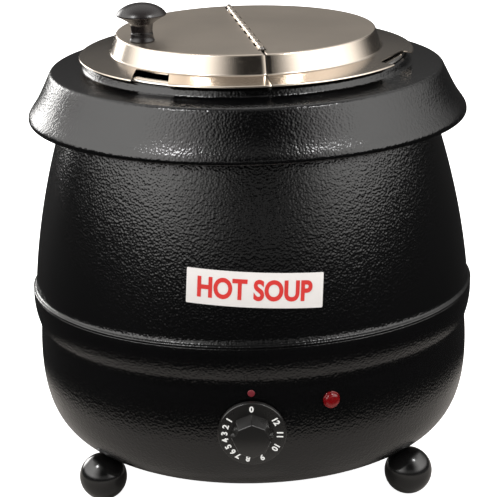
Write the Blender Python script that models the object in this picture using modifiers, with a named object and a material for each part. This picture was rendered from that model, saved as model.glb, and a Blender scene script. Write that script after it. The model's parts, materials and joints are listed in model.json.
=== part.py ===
"""A counter-top soup kettle: a water-jacketed pot in a ball-footed steel body.

Metres, +Z up, front towards -Y.  The origin is on the kettle's upright axis at
the surface that it stands on.  An azimuth is counted from the front towards +X.
"""

from math import cos, pi, radians, sin, sqrt

import bmesh
import bpy
from mathutils import Matrix, Vector

# ---------------------------------------------------------------- dimensions
STEPS = 32  # facets round a full turn
GAP = 0.0003  # clearance between pieces that touch
THROUGH = 0.010  # how far a cutter reaches past a sheet on each side

# Body. Each wall is a cubic curve of (radius, height) points, top to bottom.
BODY_R = 0.170
SEAM_H = 0.1549
SHEET = 0.0012
UPPER_WALL = ((0.1299, 0.3198), (0.1509, 0.2648), (0.1636, 0.2099), (0.1675, 0.1580))
LOWER_WALL = ((0.1646, 0.1328), (0.1720, 0.0515), (0.1455, 0.0383), (0.1141, 0.0301))
BAND_FOOT = (0.1659, 0.1296)
WALL_BOW_R = 0.055  # tightest bow of the lower wall behind a flat-faced piece
TONGUE_R = 0.1654
TONGUE_TOP_H = 0.1625
SHOULDER = ((0.1688, 0.1570), (BODY_R, 0.1558), (BODY_R, SEAM_H))
BAND = ((0.1692, 0.1545), (0.1698, 0.1538), (0.1690, 0.1420), BAND_FOOT)
SHELL_TOP_H = 0.3222
SHELL_TOP_EDGE_R = 0.1283
SHELL_MOUTH_R = 0.1175
BASE_FLANGE_R = 0.0980
BASE_FLANGE_H = 0.0292

BASE_PLATE_R = 0.1080
BASE_PLATE_T = 0.0012
VENT_COUNT = 8
VENT_SIZE = (0.026, 0.006)
VENT_RING_R = 0.070
PLATE_SCREW_RING_R = 0.1030
PLATE_SCREW_AZIMUTHS = (30, 150, 270)

# Pan-head screws: shank radius and length, head radius and thickness
PLATE_SCREW = (0.0017, 0.0060, 0.0036, 0.0018)
WELL_SCREW = (0.0017, 0.0060, 0.0030, 0.0007)
KNOB_SCREW = (0.0020, 0.0120, 0.0042, 0.0022)
SCREW_HOLE_R = 0.0021

# Feet
BALL_R = 0.0182
FOOT_T = 0.84  # where along the lower wall's curve a ball touches it
FEET = {"front_left": -60, "front_right": 60, "rear": 180}
STUD_R = 0.0025
FOOT_STUD = (STUD_R, 0.0132, 0.0048, 0.0026)
FOOT_BORE_DEPTH = 0.0135

# Water well, pot, collar and lid
WELL_R = 0.1158
WELL_BOTTOM_H = 0.0720
WELL_CORNER_R = 0.012
WELL_FLANGE_R = 0.1265
WELL_SHEET = 0.0008
WELL_SCREW_RING_R = 0.1205
WELL_SCREW_AZIMUTHS = (17, 137, 257)

COLLAR_TOP_R = 0.1494
COLLAR_TOP_H = 0.3233
COLLAR_SKIRT_R = 0.1667
COLLAR_FOOT_H = 0.2868
COLLAR_NECK_H = 0.3312
COLLAR_NECK_R = 0.1220
COLLAR_THROAT_R = 0.1120
COLLAR_THROAT_H = 0.3000
COLLAR_DIP = ((0.1238, 0.3262), (0.1262, 0.3248))  # the hollow round the neck's foot
COLLAR_LIP = ((0.1590, 0.3010), (0.1655, 0.2915), (COLLAR_SKIRT_R, 0.2890), (0.1662, 0.2874))
COLLAR_HEM = ((0.1645, COLLAR_FOOT_H), (0.1620, 0.2872))

POT_R = 0.1095
POT_RIM_R = 0.1185
POT_RIM_H = 0.3324
POT_BOTTOM_H = 0.0930
POT_CORNER_R = 0.018
POT_SHEET = 0.0009

LID_RIM_R = 0.1262
LID_RIM_H = 0.3344
LID_FOOT_R = 0.1028
LID_FOOT_H = 0.3364
LID_TOP_R = 0.0977
LID_TOP_H = 0.3509
LID_SHEET = 0.0008
LID_AZIMUTH = 9  # of the hinge line's front end
LID_SPLIT = 0.0007

HINGE_H = LID_TOP_H + 0.0003
HINGE_START = -0.0795
HINGE_END = 0.0885
HINGE_MARGIN = 0.0048  # clear of the lid beyond the end knuckles
KNUCKLES = 14
KNUCKLE_R = 0.0019
PIN_R = 0.0010
PIN_HEAD_R = 0.0021

LADLE_NOTCH_X = (-0.0790, -0.0540)
LADLE_NOTCH_R = 0.1045
REST_NOTCH_AZIMUTH = 65
REST_NOTCH_R = 0.1135
REST_NOTCH_SPAN = (-0.012, 0.033)

KNOB_X = -0.0757
KNOB_Y = -0.0390
KNOB_R = 0.0187
KNOB_NECK_R = 0.0082
KNOB_H = 0.0282

# Controls on the front of the lower wall
DIAL_H = 0.0905
DIAL_R = 0.0250
DIAL_SKIRT_T = 0.0042
DIAL_HUB_R = 0.0165
DIAL_FACE_R = 0.0132
DIAL_PROUD = 0.0160
THERMOSTAT_SIZE = (0.036, 0.028, 0.018)
BUSH_R = 0.0048
BUSH_TOP = 0.0038
NUT_R = 0.0078
SHAFT_R = 0.0030
SHAFT_ENDS = (-0.0155, 0.0105)
DIAL_RECESS_R = 0.0092
LAMP_H = 0.1105
LAMP_AZIMUTH = 20.2
LAMP_R = 0.00635
LAMP_PROUD = 0.0042
LAMP_BODY_R = 0.0043
LAMP_HOLE_R = 0.0048
LAMP_NUT_R = 0.0070
MARK_H = 0.1198
MARK_R = 0.0026

LABEL_H = 0.1963
LABEL_AZIMUTH = 1.6
LABEL_SIZE = (0.0975, 0.0248)
LABEL_TILT = -3.9
LABEL_T = 0.0008

# Rear cable entry
GLAND_H = 0.0740
GLAND_R = 0.0090
GLAND_BORE_R = 0.0036
GLAND_THREAD_R = 0.0062
GLAND_NUT_R = 0.0092
TERMINAL_BLOCK = ((-0.020, 0.030), (0.020, 0.046), 0.014)  # plan corners and height

# Heater
ELEMENT_RING_R = 0.0740
ELEMENT_R = 0.0034
ELEMENT_DROP = 0.020
ELEMENT_LEG_AZIMUTH = 196
ELEMENT_H = WELL_BOTTOM_H - ELEMENT_R - GAP
CLAMP_R = 0.0860
CLAMP_T = 0.0020
CLAMP_H = ELEMENT_H - ELEMENT_R - GAP - CLAMP_T
CLAMP_STUD_R = 0.0030
CLAMP_NUT_R = 0.0058
CLAMP_NUT_T = 0.0050
CUTOUT_R = 0.0080
CUTOUT_PLACE = (0.035, -0.020, 0.0)
WIRE_R = 0.0012

# Thermostat bulb on the well's wall
BULB_R = 0.0030
BULB_AZIMUTH = 32
BULB_ENDS = (0.095, 0.150)
CLIP_R = 0.0046
CLIP_ENDS = (0.118, 0.128)
CAPILLARY_R = 0.0009
CAPILLARY_START = (0.0120, -0.1345, 0.0855)

FINISHES = {  # name: (colour, roughness, metallic)
    "hammered_black": ((0.012, 0.012, 0.013), 0.28, 0.0),
    "satin_steel": ((0.60, 0.58, 0.55), 0.30, 1.0),
    "bright_steel": ((0.72, 0.71, 0.69), 0.16, 1.0),
    "zinc_steel": ((0.55, 0.56, 0.56), 0.40, 1.0),
    "black_plastic": ((0.010, 0.010, 0.011), 0.22, 0.0),
    "black_phenolic": ((0.020, 0.012, 0.011), 0.20, 0.0),
    "red_lens": ((0.55, 0.01, 0.02), 0.12, 0.0),
    "red_ink": ((0.70, 0.02, 0.02), 0.45, 0.0),
    "white_magnet": ((0.86, 0.85, 0.84), 0.40, 0.0),
    "heater_sheath": ((0.30, 0.28, 0.26), 0.50, 1.0),
    "aluminium": ((0.70, 0.71, 0.72), 0.38, 1.0),
    "copper": ((0.72, 0.36, 0.22), 0.32, 1.0),
    "ivory_plastic": ((0.78, 0.74, 0.64), 0.50, 0.0),
    "brown_wire": ((0.16, 0.07, 0.03), 0.50, 0.0),
    "blue_wire": ((0.03, 0.10, 0.40), 0.50, 0.0),
}


# ---------------------------------------------------------------- scene set-up
for old in list(bpy.data.objects):
    bpy.data.objects.remove(old, do_unlink=True)

kettle = bpy.data.collections.new("soup_kettle")
cutters = bpy.data.collections.new("cutters")
cutters.hide_render = True
bpy.context.scene.collection.children.link(kettle)
bpy.context.scene.collection.children.link(cutters)


def finish(name):
    """The material of that name, made once."""
    material = bpy.data.materials.get(name)
    if material is None:
        colour, roughness, metallic = FINISHES[name]
        material = bpy.data.materials.new(name)
        material.use_nodes = True
        shader = material.node_tree.nodes["Principled BSDF"]
        shader.inputs["Base Color"].default_value = (*colour, 1.0)
        shader.inputs["Roughness"].default_value = roughness
        shader.inputs["Metallic"].default_value = metallic
    return material


def add_object(name, data, material=None, parent=None, location=(0, 0, 0)):
    """A named piece, or a cutter where it has no material."""
    obj = bpy.data.objects.new(name, data)
    obj.parent = parent
    obj.location = location
    if material:
        data.materials.append(finish(material))
        kettle.objects.link(obj)
    else:
        cutters.objects.link(obj)
        obj.hide_render = True
        obj.display_type = "WIRE"
    return obj


def add_frame(name, matrix, parent=None):
    """An empty that pieces hang from."""
    frame = bpy.data.objects.new(name, None)
    frame.parent = parent
    frame.matrix_local = matrix
    kettle.objects.link(frame)
    return frame


# ---------------------------------------------------------------- shape helpers
def bezier(points, start=0.0, end=1.0, count=6):
    """Points along a cubic curve, from start to end of its length parameter."""
    curve = [Vector(point) for point in points]
    found = []
    for index in range(count + 1):
        t = start + (end - start) * index / count
        s = 1 - t
        weights = (s**3, 3 * s * s * t, 3 * s * t * t, t**3)
        found.append(sum((w * p for w, p in zip(weights, curve)), Vector.Fill(len(points[0]), 0.0)))
    return found


def arc(centre, radius, start, end, count=3):
    """Points on a circle of (radius, height), by angle in degrees from +radius."""
    angles = [radians(start + (end - start) * index / count) for index in range(count + 1)]
    return [(centre[0] + radius * cos(a), centre[1] + radius * sin(a)) for a in angles]


def turned(name, profile, material=None, wall=0.0, steps=STEPS, turn=360, **placing):
    """A profile of (radius, height) turned about Z, with a wall inside it if one is given."""
    mesh = bpy.data.meshes.new(name)
    points = [(radius, 0.0, height) for radius, height in profile]
    mesh.from_pydata(points, [(i, i + 1) for i in range(len(points) - 1)], [])
    obj = add_object(name, mesh, material, **placing)
    screw = obj.modifiers.new("turn", "SCREW")
    screw.angle = radians(turn)
    screw.steps = screw.render_steps = steps
    screw.use_merge_vertices = True
    screw.merge_threshold = 0.00005
    if wall:
        solid = obj.modifiers.new("wall", "SOLIDIFY")
        solid.thickness = wall
        solid.offset = -1
        solid.use_even_offset = True
    return obj


def from_bmesh(name, bm, material=None, **placing):
    """An object from a bmesh, shaded smooth between its edges."""
    mesh = bpy.data.meshes.new(name)
    bmesh.ops.recalc_face_normals(bm, faces=bm.faces)
    bm.to_mesh(mesh)
    bm.free()
    mesh.shade_smooth()
    mesh.set_sharp_from_angle(angle=radians(35))
    return add_object(name, mesh, material, **placing)


def box(name, low, high, material=None, bevel=0.0, **placing):
    """A box between two corners, with its edges bevelled if asked."""
    low, high = Vector(low), Vector(high)
    bm = bmesh.new()
    bmesh.ops.create_cube(bm, size=1.0)
    bmesh.ops.scale(bm, vec=high - low, verts=bm.verts)
    bmesh.ops.translate(bm, vec=(low + high) / 2, verts=bm.verts)
    obj = from_bmesh(name, bm, material, **placing)
    if bevel:
        edge = obj.modifiers.new("edge", "BEVEL")
        edge.width = bevel
        edge.segments = 1
    return obj


def cylinder(name, radius, low, high, material=None, sides=16, top_radius=None, **placing):
    """A cylinder, cone or prism along Z, from one height to another."""
    bm = bmesh.new()
    bmesh.ops.create_cone(
        bm,
        cap_ends=True,
        segments=sides,
        radius1=radius,
        radius2=radius if top_radius is None else top_radius,
        depth=high - low,
    )
    bmesh.ops.translate(bm, vec=(0, 0, (low + high) / 2), verts=bm.verts)
    return from_bmesh(name, bm, material, **placing)


def drill(name, radius, sides, low=-THROUGH, high=THROUGH, **placing):
    """A cutter for a round hole along Z."""
    return cylinder(name, radius, low, high, sides=sides, **placing)


def prism(name, outline, low, high, material=None, **placing):
    """A flat outline of (x, y) points, filled between two heights."""
    bm = bmesh.new()
    rim = [bm.verts.new((x, y, low)) for x, y in outline]
    face = bm.faces.new(rim)
    top = bmesh.ops.extrude_face_region(bm, geom=[face])["geom"]
    lifted = [item for item in top if isinstance(item, bmesh.types.BMVert)]
    bmesh.ops.translate(bm, vec=(0, 0, high - low), verts=lifted)
    return from_bmesh(name, bm, material, **placing)


def tube(name, points, radius, material, rounding=1):
    """A round tube with closed ends along the points."""
    curve = bpy.data.curves.new(name, "CURVE")
    curve.dimensions = "3D"
    curve.bevel_depth = radius
    curve.bevel_resolution = rounding
    curve.use_fill_caps = True
    spline = curve.splines.new("POLY")
    spline.points.add(len(points) - 1)
    for point, place in zip(spline.points, points):
        point.co = (*place, 1.0)
    return add_object(name, curve, material)


def cut(obj, cutter, operation="DIFFERENCE"):
    """Cuts a piece with a cutter, or joins it to one."""
    boolean = obj.modifiers.new(cutter.name, "BOOLEAN")
    boolean.operation = operation
    if isinstance(cutter, bpy.types.Collection):
        boolean.operand_type = "COLLECTION"
        boolean.collection = cutter
    else:
        boolean.object = cutter


def around(azimuth, radius, height=0.0):
    """The point at that azimuth, radius and height."""
    a = radians(azimuth)
    return Vector((radius * sin(a), -radius * cos(a), height))


def wall_site(name, wall, azimuth, height=None, t=None):
    """An empty on a body wall, its Z straight out of the wall and its Y up the wall."""
    if t is None:
        t = next(i / 1000 for i in range(1001) if bezier(wall, i / 1000, 1, 1)[0].y <= height)
    here, after = bezier(wall, t, t + 0.01, 1)
    up = (here - after).normalized()
    out = Vector((up.y, -up.x))
    a = radians(azimuth)
    radial = Vector((sin(a), -cos(a), 0))
    z_axis = radial * out.x + Vector((0, 0, out.y))
    y_axis = radial * up.x + Vector((0, 0, up.y))
    x_axis = y_axis.cross(z_axis)
    matrix = Matrix((x_axis, y_axis, z_axis)).transposed().to_4x4()
    matrix.translation = around(azimuth, here.x, here.y)
    return add_frame(name, matrix)


def seat(reach):
    """How far inside the curved lower wall a flat face of that half-width seats."""
    facet_sag = BODY_R * (1 - cos(pi / STEPS))
    return SHEET + GAP + facet_sag + reach**2 / (2 * WALL_BOW_R)


def screw(name, place, sizes, **placing):
    """A pan-head screw, its shank pointing down from the underside of its head at place."""
    shank_r, length, head_r, head_t = sizes
    profile = [(0, head_t), (head_r * 0.75, head_t), (head_r, head_t * 0.5), (head_r, 0)]
    profile += [(shank_r, 0), (shank_r, -length), (0, -length)]
    return turned(name, profile, "zinc_steel", steps=8, location=place, **placing)


# ---------------------------------------------------------------- body
def build_upper_shell():
    """The deep-drawn upper wall with its shoulder over the seam and its mouth flange."""
    profile = [(SHELL_MOUTH_R, SHELL_TOP_H), (SHELL_TOP_EDGE_R, SHELL_TOP_H)]
    profile += bezier(UPPER_WALL, count=6)
    profile += SHOULDER
    shell = turned("upper_shell", profile, "hammered_black", wall=SHEET)
    for azimuth in WELL_SCREW_AZIMUTHS:
        place = around(azimuth, WELL_SCREW_RING_R, SHELL_TOP_H)
        cut(shell, drill(f"well_screw_hole_{azimuth}", SCREW_HOLE_R, 8, location=place))


def build_lower_shell():
    """The lower bowl: a tongue inside the seam, the rounded band, the bowl and its base flange."""
    profile = [(TONGUE_R, TONGUE_TOP_H), (TONGUE_R, SEAM_H + 0.0006)]
    profile += BAND
    profile += bezier(LOWER_WALL, start=0.06, count=7)
    profile += [(BASE_FLANGE_R, BASE_FLANGE_H)]
    return turned("lower_shell", profile, "hammered_black", wall=SHEET)


def build_base_plate(shell):
    """The vented plate that closes the underside, and its three screws."""
    top = BASE_FLANGE_H - GAP
    plate = cylinder(
        "base_plate", BASE_PLATE_R, top - BASE_PLATE_T, top, "hammered_black", sides=STEPS
    )
    half_length, half_width = VENT_SIZE[0] / 2, VENT_SIZE[1] / 2
    for index in range(VENT_COUNT):
        azimuth = 360 * index / VENT_COUNT
        slot = box(
            f"vent_{index + 1}",
            (-half_width, -half_length, -0.005),
            (half_width, half_length, 0.005),
            location=around(azimuth, VENT_RING_R, top),
        )
        slot.rotation_euler.z = radians(azimuth)
        cut(plate, slot)
    for index, azimuth in enumerate(PLATE_SCREW_AZIMUTHS):
        place = around(azimuth, PLATE_SCREW_RING_R, top - BASE_PLATE_T - GAP)
        hole = drill(f"plate_screw_hole_{index + 1}", SCREW_HOLE_R, 8, location=place)
        cut(plate, hole)
        cut(shell, hole)
        fixing = screw(f"base_plate_screw_{index + 1}", place, PLATE_SCREW)
        fixing.rotation_euler.x = pi


def build_feet(shell):
    """Three ball feet, each on a stud square to the bowl, with a flat where it stands."""
    ground = box("ground", (-0.3, -0.3, -0.05), (0.3, 0.3, 0.0))
    for name, azimuth in FEET.items():
        site = wall_site(f"foot_site_{name}", LOWER_WALL, azimuth, t=FOOT_T)
        bm = bmesh.new()
        bmesh.ops.create_uvsphere(bm, u_segments=16, v_segments=9, radius=BALL_R)
        ball = from_bmesh(
            f"ball_foot_{name}", bm, "black_plastic", parent=site, location=(0, 0, BALL_R + GAP)
        )
        cut(ball, drill(f"foot_bore_{name}", STUD_R + GAP, 10, high=FOOT_BORE_DEPTH, parent=site))
        cut(ball, ground)
        cut(shell, drill(f"foot_hole_{name}", STUD_R + GAP, 10, high=0.002, parent=site))
        stud = screw(f"foot_stud_{name}", (0, 0, -seat(FOOT_STUD[2])), FOOT_STUD)
        stud.parent = site
        stud.rotation_euler.x = pi


def build_well():
    """The stainless water well, hung by its flange in the upper shell's mouth."""
    top = SHELL_TOP_H + GAP
    profile = [(WELL_FLANGE_R, top), (WELL_R + 0.001, top), (WELL_R, top - 0.001)]
    corner = (WELL_R - WELL_CORNER_R, WELL_BOTTOM_H + WELL_CORNER_R)
    profile += arc(corner, WELL_CORNER_R, 0, -90)
    profile += [(0, WELL_BOTTOM_H)]
    well = turned("water_well", profile, "satin_steel", wall=WELL_SHEET)
    for index, azimuth in enumerate(WELL_SCREW_AZIMUTHS):
        place = around(azimuth, WELL_SCREW_RING_R, top + WELL_SHEET + GAP)
        cut(well, drill(f"well_hole_{index + 1}", SCREW_HOLE_R, 8, location=place))
        screw(f"well_screw_{index + 1}", place, WELL_SCREW)


def build_heater():
    """The ring element under the well, its clamp plate, stud, nut and cut-out."""
    ring = [around(azimuth, ELEMENT_RING_R, ELEMENT_H) for azimuth in range(204, 517, 24)]
    legs = [
        [around(azimuth, r, ELEMENT_H - drop) for r, drop in ((0.0640, ELEMENT_DROP), (0.0700, 0.006))]
        for azimuth in (ELEMENT_LEG_AZIMUTH, 360 + 180 - (ELEMENT_LEG_AZIMUTH - 180))
    ]
    tube("heating_element", legs[0] + ring + legs[1][::-1], ELEMENT_R, "heater_sheath", rounding=2)

    plate = cylinder("heater_clamp_plate", CLAMP_R, CLAMP_H, CLAMP_H + CLAMP_T, "aluminium", sides=24)
    low, high = CLAMP_H - THROUGH, CLAMP_H + THROUGH
    cut(plate, drill("clamp_hole", CLAMP_STUD_R + 0.0004, 10, low, high))
    cut(plate, box("terminal_gap", (-0.036, 0.045, low), (0.036, 0.09, high)))
    cylinder("clamp_stud", CLAMP_STUD_R, low, WELL_BOTTOM_H - GAP, "zinc_steel", sides=10)
    nut_low = CLAMP_H - GAP - CLAMP_NUT_T
    nut = cylinder("clamp_nut", CLAMP_NUT_R, nut_low, nut_low + CLAMP_NUT_T, "zinc_steel", sides=6)
    cut(nut, drill("clamp_nut_hole", CLAMP_STUD_R + GAP, 10, nut_low - THROUGH, nut_low + 2 * THROUGH))
    plate_top = CLAMP_H + CLAMP_T + GAP
    cylinder("thermal_cutout", CUTOUT_R, plate_top, WELL_BOTTOM_H - GAP, "black_plastic",
             location=CUTOUT_PLACE)


def build_thermostat(shell):
    """The thermostat behind the front wall, with its nut, capillary, bulb and clip."""
    site = wall_site("dial_axis", LOWER_WALL, 0, height=DIAL_H)
    cut(shell, drill("bush_hole", BUSH_R + GAP, 12, parent=site))
    wide, tall, deep = THERMOSTAT_SIZE
    front = -seat(sqrt(wide**2 + tall**2) / 2)
    case = box("thermostat_body", (-wide / 2, -tall / 2, front - deep), (wide / 2, tall / 2, front),
               "ivory_plastic", bevel=0.0012, parent=site)
    bush = cylinder("thermostat_bush", BUSH_R, front - 0.003, BUSH_TOP, sides=12, parent=site)
    cut(case, bush, "UNION")
    shaft_low, shaft_high = SHAFT_ENDS
    cut(case, drill("shaft_bore", SHAFT_R + GAP, 12, shaft_low - 0.0005, 2 * THROUGH, parent=site))
    nut = cylinder("thermostat_nut", NUT_R, GAP, 0.0029, "zinc_steel", sides=6, parent=site)
    cut(nut, drill("nut_hole", BUSH_R + GAP, 12, parent=site))

    cylinder("thermostat_shaft", SHAFT_R, shaft_low, shaft_high, "zinc_steel", sides=12, parent=site)
    dial = cylinder("control_dial", DIAL_R, 0.0008, DIAL_SKIRT_T, "black_plastic", sides=STEPS,
                    top_radius=DIAL_R - 0.0016, parent=site)
    hub = cylinder("dial_hub", DIAL_HUB_R, DIAL_SKIRT_T - 0.001, DIAL_PROUD, sides=8,
                   top_radius=DIAL_FACE_R, parent=site)
    cut(dial, hub, "UNION")
    cut(dial, drill("dial_recess", DIAL_RECESS_R, 12, high=BUSH_TOP + 0.0002 + GAP, parent=site))
    cut(dial, drill("dial_bore", SHAFT_R + GAP, 12, high=shaft_high + GAP, parent=site))


def build_sensor():
    """The thermostat's bulb on the well's wall, its clip, and the capillary between bulb and case."""
    place = around(BULB_AZIMUTH, WELL_R + 0.0055, 0)
    low, high = BULB_ENDS
    cylinder("sensor_bulb", BULB_R, low, high, "copper", sides=10, location=place)
    clip_low, clip_high = CLIP_ENDS
    clip = cylinder("bulb_clip", CLIP_R, clip_low, clip_high, "aluminium", sides=12, location=place)
    cut(clip, drill("clip_bore", BULB_R + GAP, 12, clip_low - THROUGH, clip_high + THROUGH, location=place))
    start = Vector(CAPILLARY_START)
    end = place + Vector((0, 0, low - GAP))
    route = (start, start + Vector((0.004, 0.008, -0.012)), end + Vector((0, 0, -0.030)), end)
    tube("capillary_tube", bezier(route, count=9), CAPILLARY_R, "copper", rounding=0)


def build_lamp(shell):
    """The pilot lamp: red lens outside, body through the wall, ring nut inside."""
    site = wall_site("lamp_site", LOWER_WALL, LAMP_AZIMUTH, height=LAMP_H)
    lens = [(0, LAMP_PROUD), (LAMP_R * 0.55, LAMP_PROUD * 0.93), (LAMP_R * 0.82, LAMP_PROUD * 0.72)]
    lens += [(LAMP_R * 0.86, 0.0020), (LAMP_R, 0.0016), (LAMP_R, GAP), (0, GAP)]
    turned("pilot_lamp_lens", lens, "red_lens", steps=20, parent=site)
    cut(shell, drill("lamp_hole", LAMP_HOLE_R, 16, parent=site))
    cylinder("pilot_lamp_body", LAMP_BODY_R, -0.020, 0.0, "ivory_plastic", sides=12, parent=site)
    back = -seat(LAMP_NUT_R)
    nut = cylinder("pilot_lamp_nut", LAMP_NUT_R, back - 0.002, back, "black_plastic", sides=12, parent=site)
    cut(nut, drill("lamp_nut_hole", LAMP_BODY_R + 0.0004, 12, parent=site))


def build_mark():
    """The red index mark over the dial."""
    site = wall_site("mark_site", LOWER_WALL, 0, height=MARK_H)
    cylinder("index_mark", MARK_R, GAP, 0.0008, "red_ink", sides=16, parent=site)


def build_label():
    """The white magnetic menu strip, bent to the upper wall and set a little askew."""
    wall = bezier(UPPER_WALL, count=60)
    tilt = Matrix.Rotation(radians(LABEL_TILT), 2)
    bm = bmesh.new()
    bmesh.ops.create_grid(bm, x_segments=10, y_segments=3, size=0.5)
    for vert in bm.verts:
        along, up = tilt @ Vector((vert.co.x * LABEL_SIZE[0], vert.co.y * LABEL_SIZE[1]))
        height = LABEL_H + up
        above = min(range(60), key=lambda i: abs(wall[i].y - height))
        ratio = (wall[above].y - height) / (wall[above].y - wall[above + 1].y)
        radius = wall[above].x + (wall[above + 1].x - wall[above].x) * ratio
        vert.co = around(LABEL_AZIMUTH + along / radius * 180 / pi, radius + GAP, height)
    label = from_bmesh("menu_label", bm, "white_magnet")
    solid = label.modifiers.new("thickness", "SOLIDIFY")
    solid.thickness = LABEL_T
    solid.offset = 1


def build_gland(shell):
    """The cable gland at the rear, its inner nut and the terminal block."""
    site = wall_site("gland_site", LOWER_WALL, 180, height=GLAND_H)
    profile = [(GLAND_BORE_R, 0.013), (0.0060, 0.013), (0.0066, 0.012), (0.0070, 0.0055)]
    profile += [(GLAND_R, 0.0048), (GLAND_R, GAP), (GLAND_THREAD_R, GAP), (GLAND_THREAD_R, -0.009)]
    profile += [(GLAND_BORE_R, -0.009), (GLAND_BORE_R, 0.013)]
    turned("cord_gland", profile, "black_plastic", steps=14, parent=site)
    cut(shell, drill("gland_hole", GLAND_THREAD_R + GAP, 14, parent=site))
    back = -seat(GLAND_NUT_R)
    nut = cylinder("gland_nut", GLAND_NUT_R, back - 0.004, back, "black_plastic", sides=6, parent=site)
    cut(nut, drill("gland_nut_hole", GLAND_THREAD_R + 0.0004, 14, -2 * THROUGH, 2 * THROUGH, parent=site))

    near, far, tall = TERMINAL_BLOCK
    box("terminal_block", (*near, BASE_FLANGE_H), (*far, BASE_FLANGE_H + tall), "ivory_plastic", bevel=0.001)


def build_wires():
    """The mains wiring between block, thermostat, heater and lamp."""
    block_top = BASE_FLANGE_H + TERMINAL_BLOCK[2] + 0.0005 + GAP
    leg = around(ELEMENT_LEG_AZIMUTH, 0.0637, ELEMENT_H - ELEMENT_DROP - 0.0012)
    case_y = -0.1330
    routes = {
        "live_wire": ("brown_wire", (-0.014, 0.038, block_top), (-0.014, 0.038, 0.058),
                      (-0.030, -0.100, 0.046), (-0.012, case_y, 0.080)),
        "neutral_wire": ("blue_wire", (0.010, 0.038, block_top), (0.010, 0.038, 0.060),
                         (0.018, 0.062, 0.036), (-leg.x, leg.y, leg.z)),
        "heater_wire": ("brown_wire", (0.000, case_y, 0.080), (0.010, -0.100, 0.040),
                        (-0.060, 0.040, 0.030), (leg.x, leg.y, leg.z)),
    }
    for name, (material, *route) in routes.items():
        tube(name, bezier(route, count=11), WIRE_R, material, rounding=1)


# ---------------------------------------------------------------- lift-off pieces
def build_collar():
    """The broad hood over the body's mouth, with a throat that guides the pot."""
    neck_edge = (COLLAR_NECK_R - 0.002, COLLAR_NECK_H)
    profile = [(COLLAR_THROAT_R, COLLAR_THROAT_H), (COLLAR_THROAT_R, COLLAR_NECK_H - 0.0012)]
    profile += [(COLLAR_THROAT_R + 0.0014, COLLAR_NECK_H), neck_edge]
    profile += [(COLLAR_NECK_R, COLLAR_NECK_H - 0.0018)]
    profile += COLLAR_DIP
    profile += [(COLLAR_TOP_R - 0.0012, COLLAR_TOP_H + 0.0003), (COLLAR_TOP_R, COLLAR_TOP_H - 0.0006)]
    profile += COLLAR_LIP
    profile += COLLAR_HEM
    turned("collar_ring", profile, "hammered_black", wall=SHEET)


def build_pot():
    """The stainless pot with a turned-out rim."""
    profile = [(POT_RIM_R, POT_RIM_H - 0.0010), (POT_RIM_R - 0.0012, POT_RIM_H)]
    profile += [(POT_R + 0.0015, POT_RIM_H), (POT_R, POT_RIM_H - 0.0015)]
    corner = (POT_R - POT_CORNER_R, POT_BOTTOM_H + POT_CORNER_R)
    profile += arc(corner, POT_CORNER_R, 0, -90, count=4)
    profile += [(0, POT_BOTTOM_H)]
    turned("soup_pot", profile, "bright_steel", wall=POT_SHEET)


def lid_half(name, side, parent, drop=0.0):
    """One half of the pressed lid, drop below its frame: side -1 is the flap, 1 the half that stays."""
    profile = [(0, LID_TOP_H), (LID_TOP_R - 0.0012, LID_TOP_H), (LID_TOP_R, LID_TOP_H - 0.0010)]
    profile += [(LID_FOOT_R - 0.0008, LID_FOOT_H + 0.0010), (LID_FOOT_R, LID_FOOT_H)]
    profile += [(LID_RIM_R - 0.0015, LID_RIM_H), (LID_RIM_R, LID_RIM_H - 0.0010)]
    place = (side * LID_SPLIT / 2, 0, -drop)
    half = turned(name, profile, "satin_steel", wall=LID_SHEET, steps=STEPS // 2, turn=180,
                  parent=parent, location=place)
    half.rotation_euler.z = -side * pi / 2
    return half


def build_knuckles(half, side, frame):
    """Rolls this half's share of the hinge knuckles on its straight edge."""
    room = KNUCKLE_R + GAP
    near, far = sorted((-side * 0.002, side * room))
    slot_low = (near, HINGE_START - HINGE_MARGIN, -0.004)
    slot_high = (far, HINGE_END + HINGE_MARGIN, 0.004)
    cut(half, box(f"{half.name}_slot", slot_low, slot_high, parent=frame))
    rolls = bpy.data.collections.new(f"{half.name}_knuckles")
    cutters.children.link(rolls)
    pitch = (HINGE_END - HINGE_START) / KNUCKLES
    first = 0 if side < 0 else 1
    for index in range(first, KNUCKLES, 2):
        middle = HINGE_START + pitch * (index + 0.5)
        reach = pitch / 2 - GAP / 2
        roll = cylinder(f"{half.name}_roll_{index}", KNUCKLE_R, -reach, reach, sides=8, parent=frame,
                        location=(0, middle, 0))
        roll.rotation_euler.x = pi / 2
        tail_near, tail_far = sorted((side * 0.0012, side * 0.0040))
        drop = HINGE_H - LID_TOP_H
        tail_low = (tail_near, middle - reach, -drop - 0.00065)
        tail_high = (tail_far, middle + reach, -drop - 0.00015)
        tail = box(f"{half.name}_tail_{index}", tail_low, tail_high, parent=frame)
        for obj in (roll, tail):
            cutters.objects.unlink(obj)
            rolls.objects.link(obj)
    cut(half, rolls, "UNION")


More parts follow.
